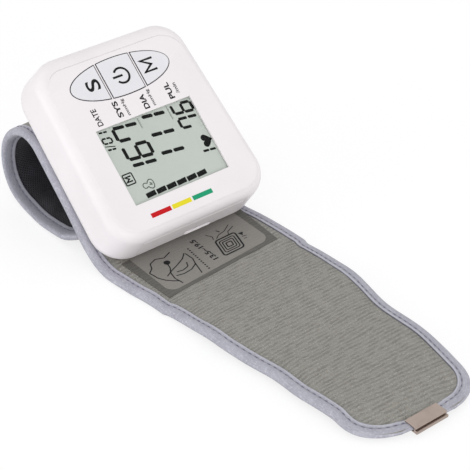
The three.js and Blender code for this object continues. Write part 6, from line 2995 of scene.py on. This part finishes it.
@dataclass
class SizeLabel:
    """The panel in front of the housing: a dark band round a paler field with a plain pictogram."""

    route: Route
    low: float = 3.3
    high: float = 3.74
    print_depth: float = 0.02
    band_front: float = 0.4
    band_back: float = -28.0
    band_half: Point2 = (27.5, 29.3)
    skew: float = 0.055
    shift: float = 0.6
    shear: float = 0.03
    front: float = -1.5
    half: float = 25.3
    corner: float = 4.2
    numbers: tuple[str, float, float, float, float, float] = ("13.5~19.5", -13.5, 0.7, 15.6, 2.5, 0.3)
    squares: tuple[Point2, ...] = ((4.9, 0.72), (3.6, 0.5), (2.5, 0.5), (1.3, 0.55))
    squares_at: Point3 = (-10.1, 10.8, 0.29)
    mount_lines: tuple[tuple[float, tuple[Point2, ...]], ...] = (
        (0.34, ((-10.9, 17.6), (-10.5, 19.6))),
        (0.3, ((-9.4, 17.4), (-9.1, 18.7))),
        (0.34, ((-16.0, 9.0), (-17.5, 11.1), (-18.2, 14.6), (-20.5, 18.4))),
        (0.34, ((-15.2, 14.4), (-17.0, 15.4), (-18.6, 19.2))),
        (0.34, ((-20.6, 7.0), (-18.0, 8.4), (-16.2, 7.6))),
        (0.5, ((-20.4, 12.0), (-18.9, 12.8))),
    )
    wrist_width: float = 0.48
    wrist_lines: tuple[tuple[Point2, ...], ...] = (
        ((-14.6, -24.6), (-12.6, -24.2), (-10.2, -23.9), (-7.4, -22.4), (-5.2, -20.4), (-3.6, -18.4)),
        ((-14.6, -24.6), (-16.4, -22.2), (-19.2, -20.9), (-20.4, -17.7), (-19.0, -14.4), (-20.6, -10.6)),
        ((-15.8, -15.6), (-12.6, -16.4), (-9.7, -18.2), (-6.0, -19.0), (-1.9, -18.3)),
        ((-16.6, -6.6), (-14.2, -9.2), (-12.2, -13.2), (-10.6, -17.2), (-8.9, -20.4)),
        ((-16.1, -6.4), (-11.6, -6.2), (-8.4, -7.4), (-6.6, -10.6), (-6.2, -14.4), (-7.0, -17.6)),
        ((-11.4, -9.4), (-9.0, -10.6), (-8.2, -13.4), (-8.8, -16.0)),
        ((-9.0, -7.2), (-2.4, -8.9)),
    )

    def strip(
        self, name: str, front: float, half: Callable[[float], float], low: float, high: float
    ) -> Piece:
        """Lay a thin strip on the cloth, which bends with it.

        Args:
            name: The piece's name.
            front: Its front edge; it ends under the housing.
            half: Gives its half width at a place along.
            low: Its lower height over the cloth's lining side.
            high: Its upper height.

        Returns:
            The closed piece.
        """
        rows, columns = 40, 17
        lower, upper, flat = [], [], []
        for i in range(rows):
            x = front + (self.band_back - front) * (1 - math.cos(i / (rows - 1) * math.pi / 2))
            for j in range(columns):
                y = half(x) * (2 * j / (columns - 1) - 1)
                u = x - self.skew * y - self.route.flat_end
                lower.append(self.lay(u, y, low))
                upper.append(self.lay(u, y, high))
                flat.append((x, y))
        return closed_sheet(name, upper, lower, rows, columns, flat)

    def lay(self, u: float, y: float, h: float) -> Vector:
        """Return a printed point's place over the cloth, whose sway it doesn't follow."""
        x, height = self.route.flat_end + u, self.route.spot(u, y, h).z
        return Vector((x + self.shift - self.shear * y, y, height))

    def band_reach(self, x: float) -> float:
        """Return the band's half width at a place along."""
        share = (self.band_front - x) / (self.band_front - self.band_back)
        return self.band_half[0] + (self.band_half[1] - self.band_half[0]) * share

    def field_reach(self, x: float) -> float:
        """Return the field's half width at a place along."""
        turn = max(0.0, 1 - (self.front - x) / self.corner)
        return self.half - self.corner * (1 - math.sqrt(1 - turn * turn))

    def mount(self) -> Drawing:
        """Draw the small monitor: nested rounded squares, seen askew.

        Returns:
            The drawing.
        """
        drawing = Drawing()
        across, aside, skew = self.squares_at
        for half, width in self.squares:
            line = rounded(half, half, half * 0.24, 4)
            drawing.stroke([(x + across, y + aside - skew * x) for x, y in line], width, closed=True)
        drawing.area([(-13.6, 17.6), (-11.3, 18.4), (-13.2, 19.9)])
        return drawing.strokes(self.mount_lines)

    def wrist(self) -> Drawing:
        """Draw the wrist's outline, the cuff's two edges round it, and a dotted line.

        Returns:
            The drawing.
        """
        drawing = Drawing().strokes((self.wrist_width, line) for line in self.wrist_lines)
        drawing.disc(-15.9, -15.4, 1.35, 16)
        for k in range(12):
            drawing.disc(-2.9 - 1.35 * k, -5.1 + 0.12 * k, 0.42, 8)
        return drawing

    def settle_print(self, piece: Piece) -> None:
        """Lay a printed piece on the monitor's cloth.

        Args:
            piece: The piece, in plan and in millimetres.
        """
        for vert in piece.data.vertices:
            vert.co = self.lay(vert.co.x - self.route.flat_end, vert.co.y, vert.co.z)
        settle(piece, IN_MM, Body.MONITOR, FINISH.label_ink, Slot.PRINT)

    def build(self) -> None:
        """Build the band, the field, the pictogram and the plain numbers."""
        base = self.strip("label_band", self.band_front, self.band_reach, self.low, self.high)
        settle(base, UNMOVED, Body.MONITOR, FINISH.band, Slot.PRINT, "size_label")
        top = self.high + self.print_depth
        inner = self.strip("label_field", self.front, self.field_reach, self.high - 0.1, top)
        settle(inner, UNMOVED, Body.MONITOR, FINISH.panel, Slot.PRINT)
        level = (top, top + self.print_depth)
        for name, drawing in (("label_mount_sign", self.mount()), ("label_wrist_sign", self.wrist())):
            self.settle_print(drawing.plate(name, *level))
        self.settle_print(written("label_numbers", *self.numbers, level))


@dataclass
class Cells:
    """Two AAA cells lying across the battery bay."""

    housing: Housing
    radius: float = 5.25
    half: float = 22.25
    rise: float = 9.9
    places: Point2 = (31.05, 20.25)

    def build(self) -> None:
        """Turn the two cells and set them head to tail."""
        r, h = self.radius, self.half
        # The flat end, the sleeve between its two rims, and the button
        profile = [
            (0.6, -h), (3.6, -h), (3.9, -h + 0.15), (4.4, -h + 0.5), (r - 0.35, -h + 0.5), (r, -h + 0.9),
            (r, -h + 1.4), (r - 0.06, -h + 1.5), (r - 0.06, h - 2.6), (r, h - 2.5), (r, h - 1.9),
            (r - 0.5, h - 1.3), (2.2, h - 1.1), (1.95, h - 0.9), (1.9, h - 0.25), (1.7, h), (0.4, h),
        ]
        for index, x in enumerate(self.places):
            cell = turned(f"cell_{index + 1}", profile)
            smooth(cell, 40)
            way = -1 if index else 1
            spot = Matrix.Translation((x, 0, self.rise)) @ Matrix.Rotation(way * math.pi / 2, 4, "X")
            cell.data.transform(spot)
            settle(cell, self.housing.place(), Body.MONITOR, FINISH.cell, Slot.CELL, f"battery_{index + 1}")


@dataclass
class CarriedOver:
    """The CAD nodes that keep their shape and get a finish."""

    finishes: dict[Slot, Finish] = field(
        default_factory=lambda: {
            Slot.WHITE: FINISH.white,
            Slot.CLEAR: FINISH.pane,
            Slot.GLASS: FINISH.crystal,
            Slot.KEY: FINISH.key,
            Slot.GREY: FINISH.grey,
            Slot.RUBBER: FINISH.rubber,
            Slot.BLACK: FINISH.black,
            Slot.BOARD: FINISH.board,
            Slot.STEEL: FINISH.steel,
            Slot.BRASS: FINISH.brass,
            Slot.CELL: FINISH.cell,
            Slot.HOSE: FINISH.hose,
            Slot.SHEET: FINISH.sheet,
            Slot.LOOP: FINISH.loop,
            Slot.LINING: FINISH.lining,
            Slot.TAPE: FINISH.tape,
            Slot.HOOK: FINISH.hook,
            Slot.PRINT: FINISH.panel,
        }
    )

    def build(self) -> None:
        """Give every node the finish of its slot in the record."""
        for row in frame["record"]["subparts"]:
            node = frame["nodes"][row["node"]]
            node.data.materials.clear()
            node.data.materials.append(self.finishes[Slot(row["material_slot"])].material())


def main() -> None:
    """Build the stage and every sub-assembly in order."""
    logging.basicConfig(level=logging.INFO)
    Studio().build()
    housing = Housing()
    housing.build()
    Keys(housing).build()
    Display(housing).build()
    FacePrint(housing).build()
    Cells(housing).build()
    route = Route()
    SoftGoods(route).build()
    CuffFilling(route).build()
    AirHose(housing).build()
    Clip().build()
    HookPatch(route).build()
    SizeLabel(route).build()
    CarriedOver().build()


if __name__ == "__main__":
    main()
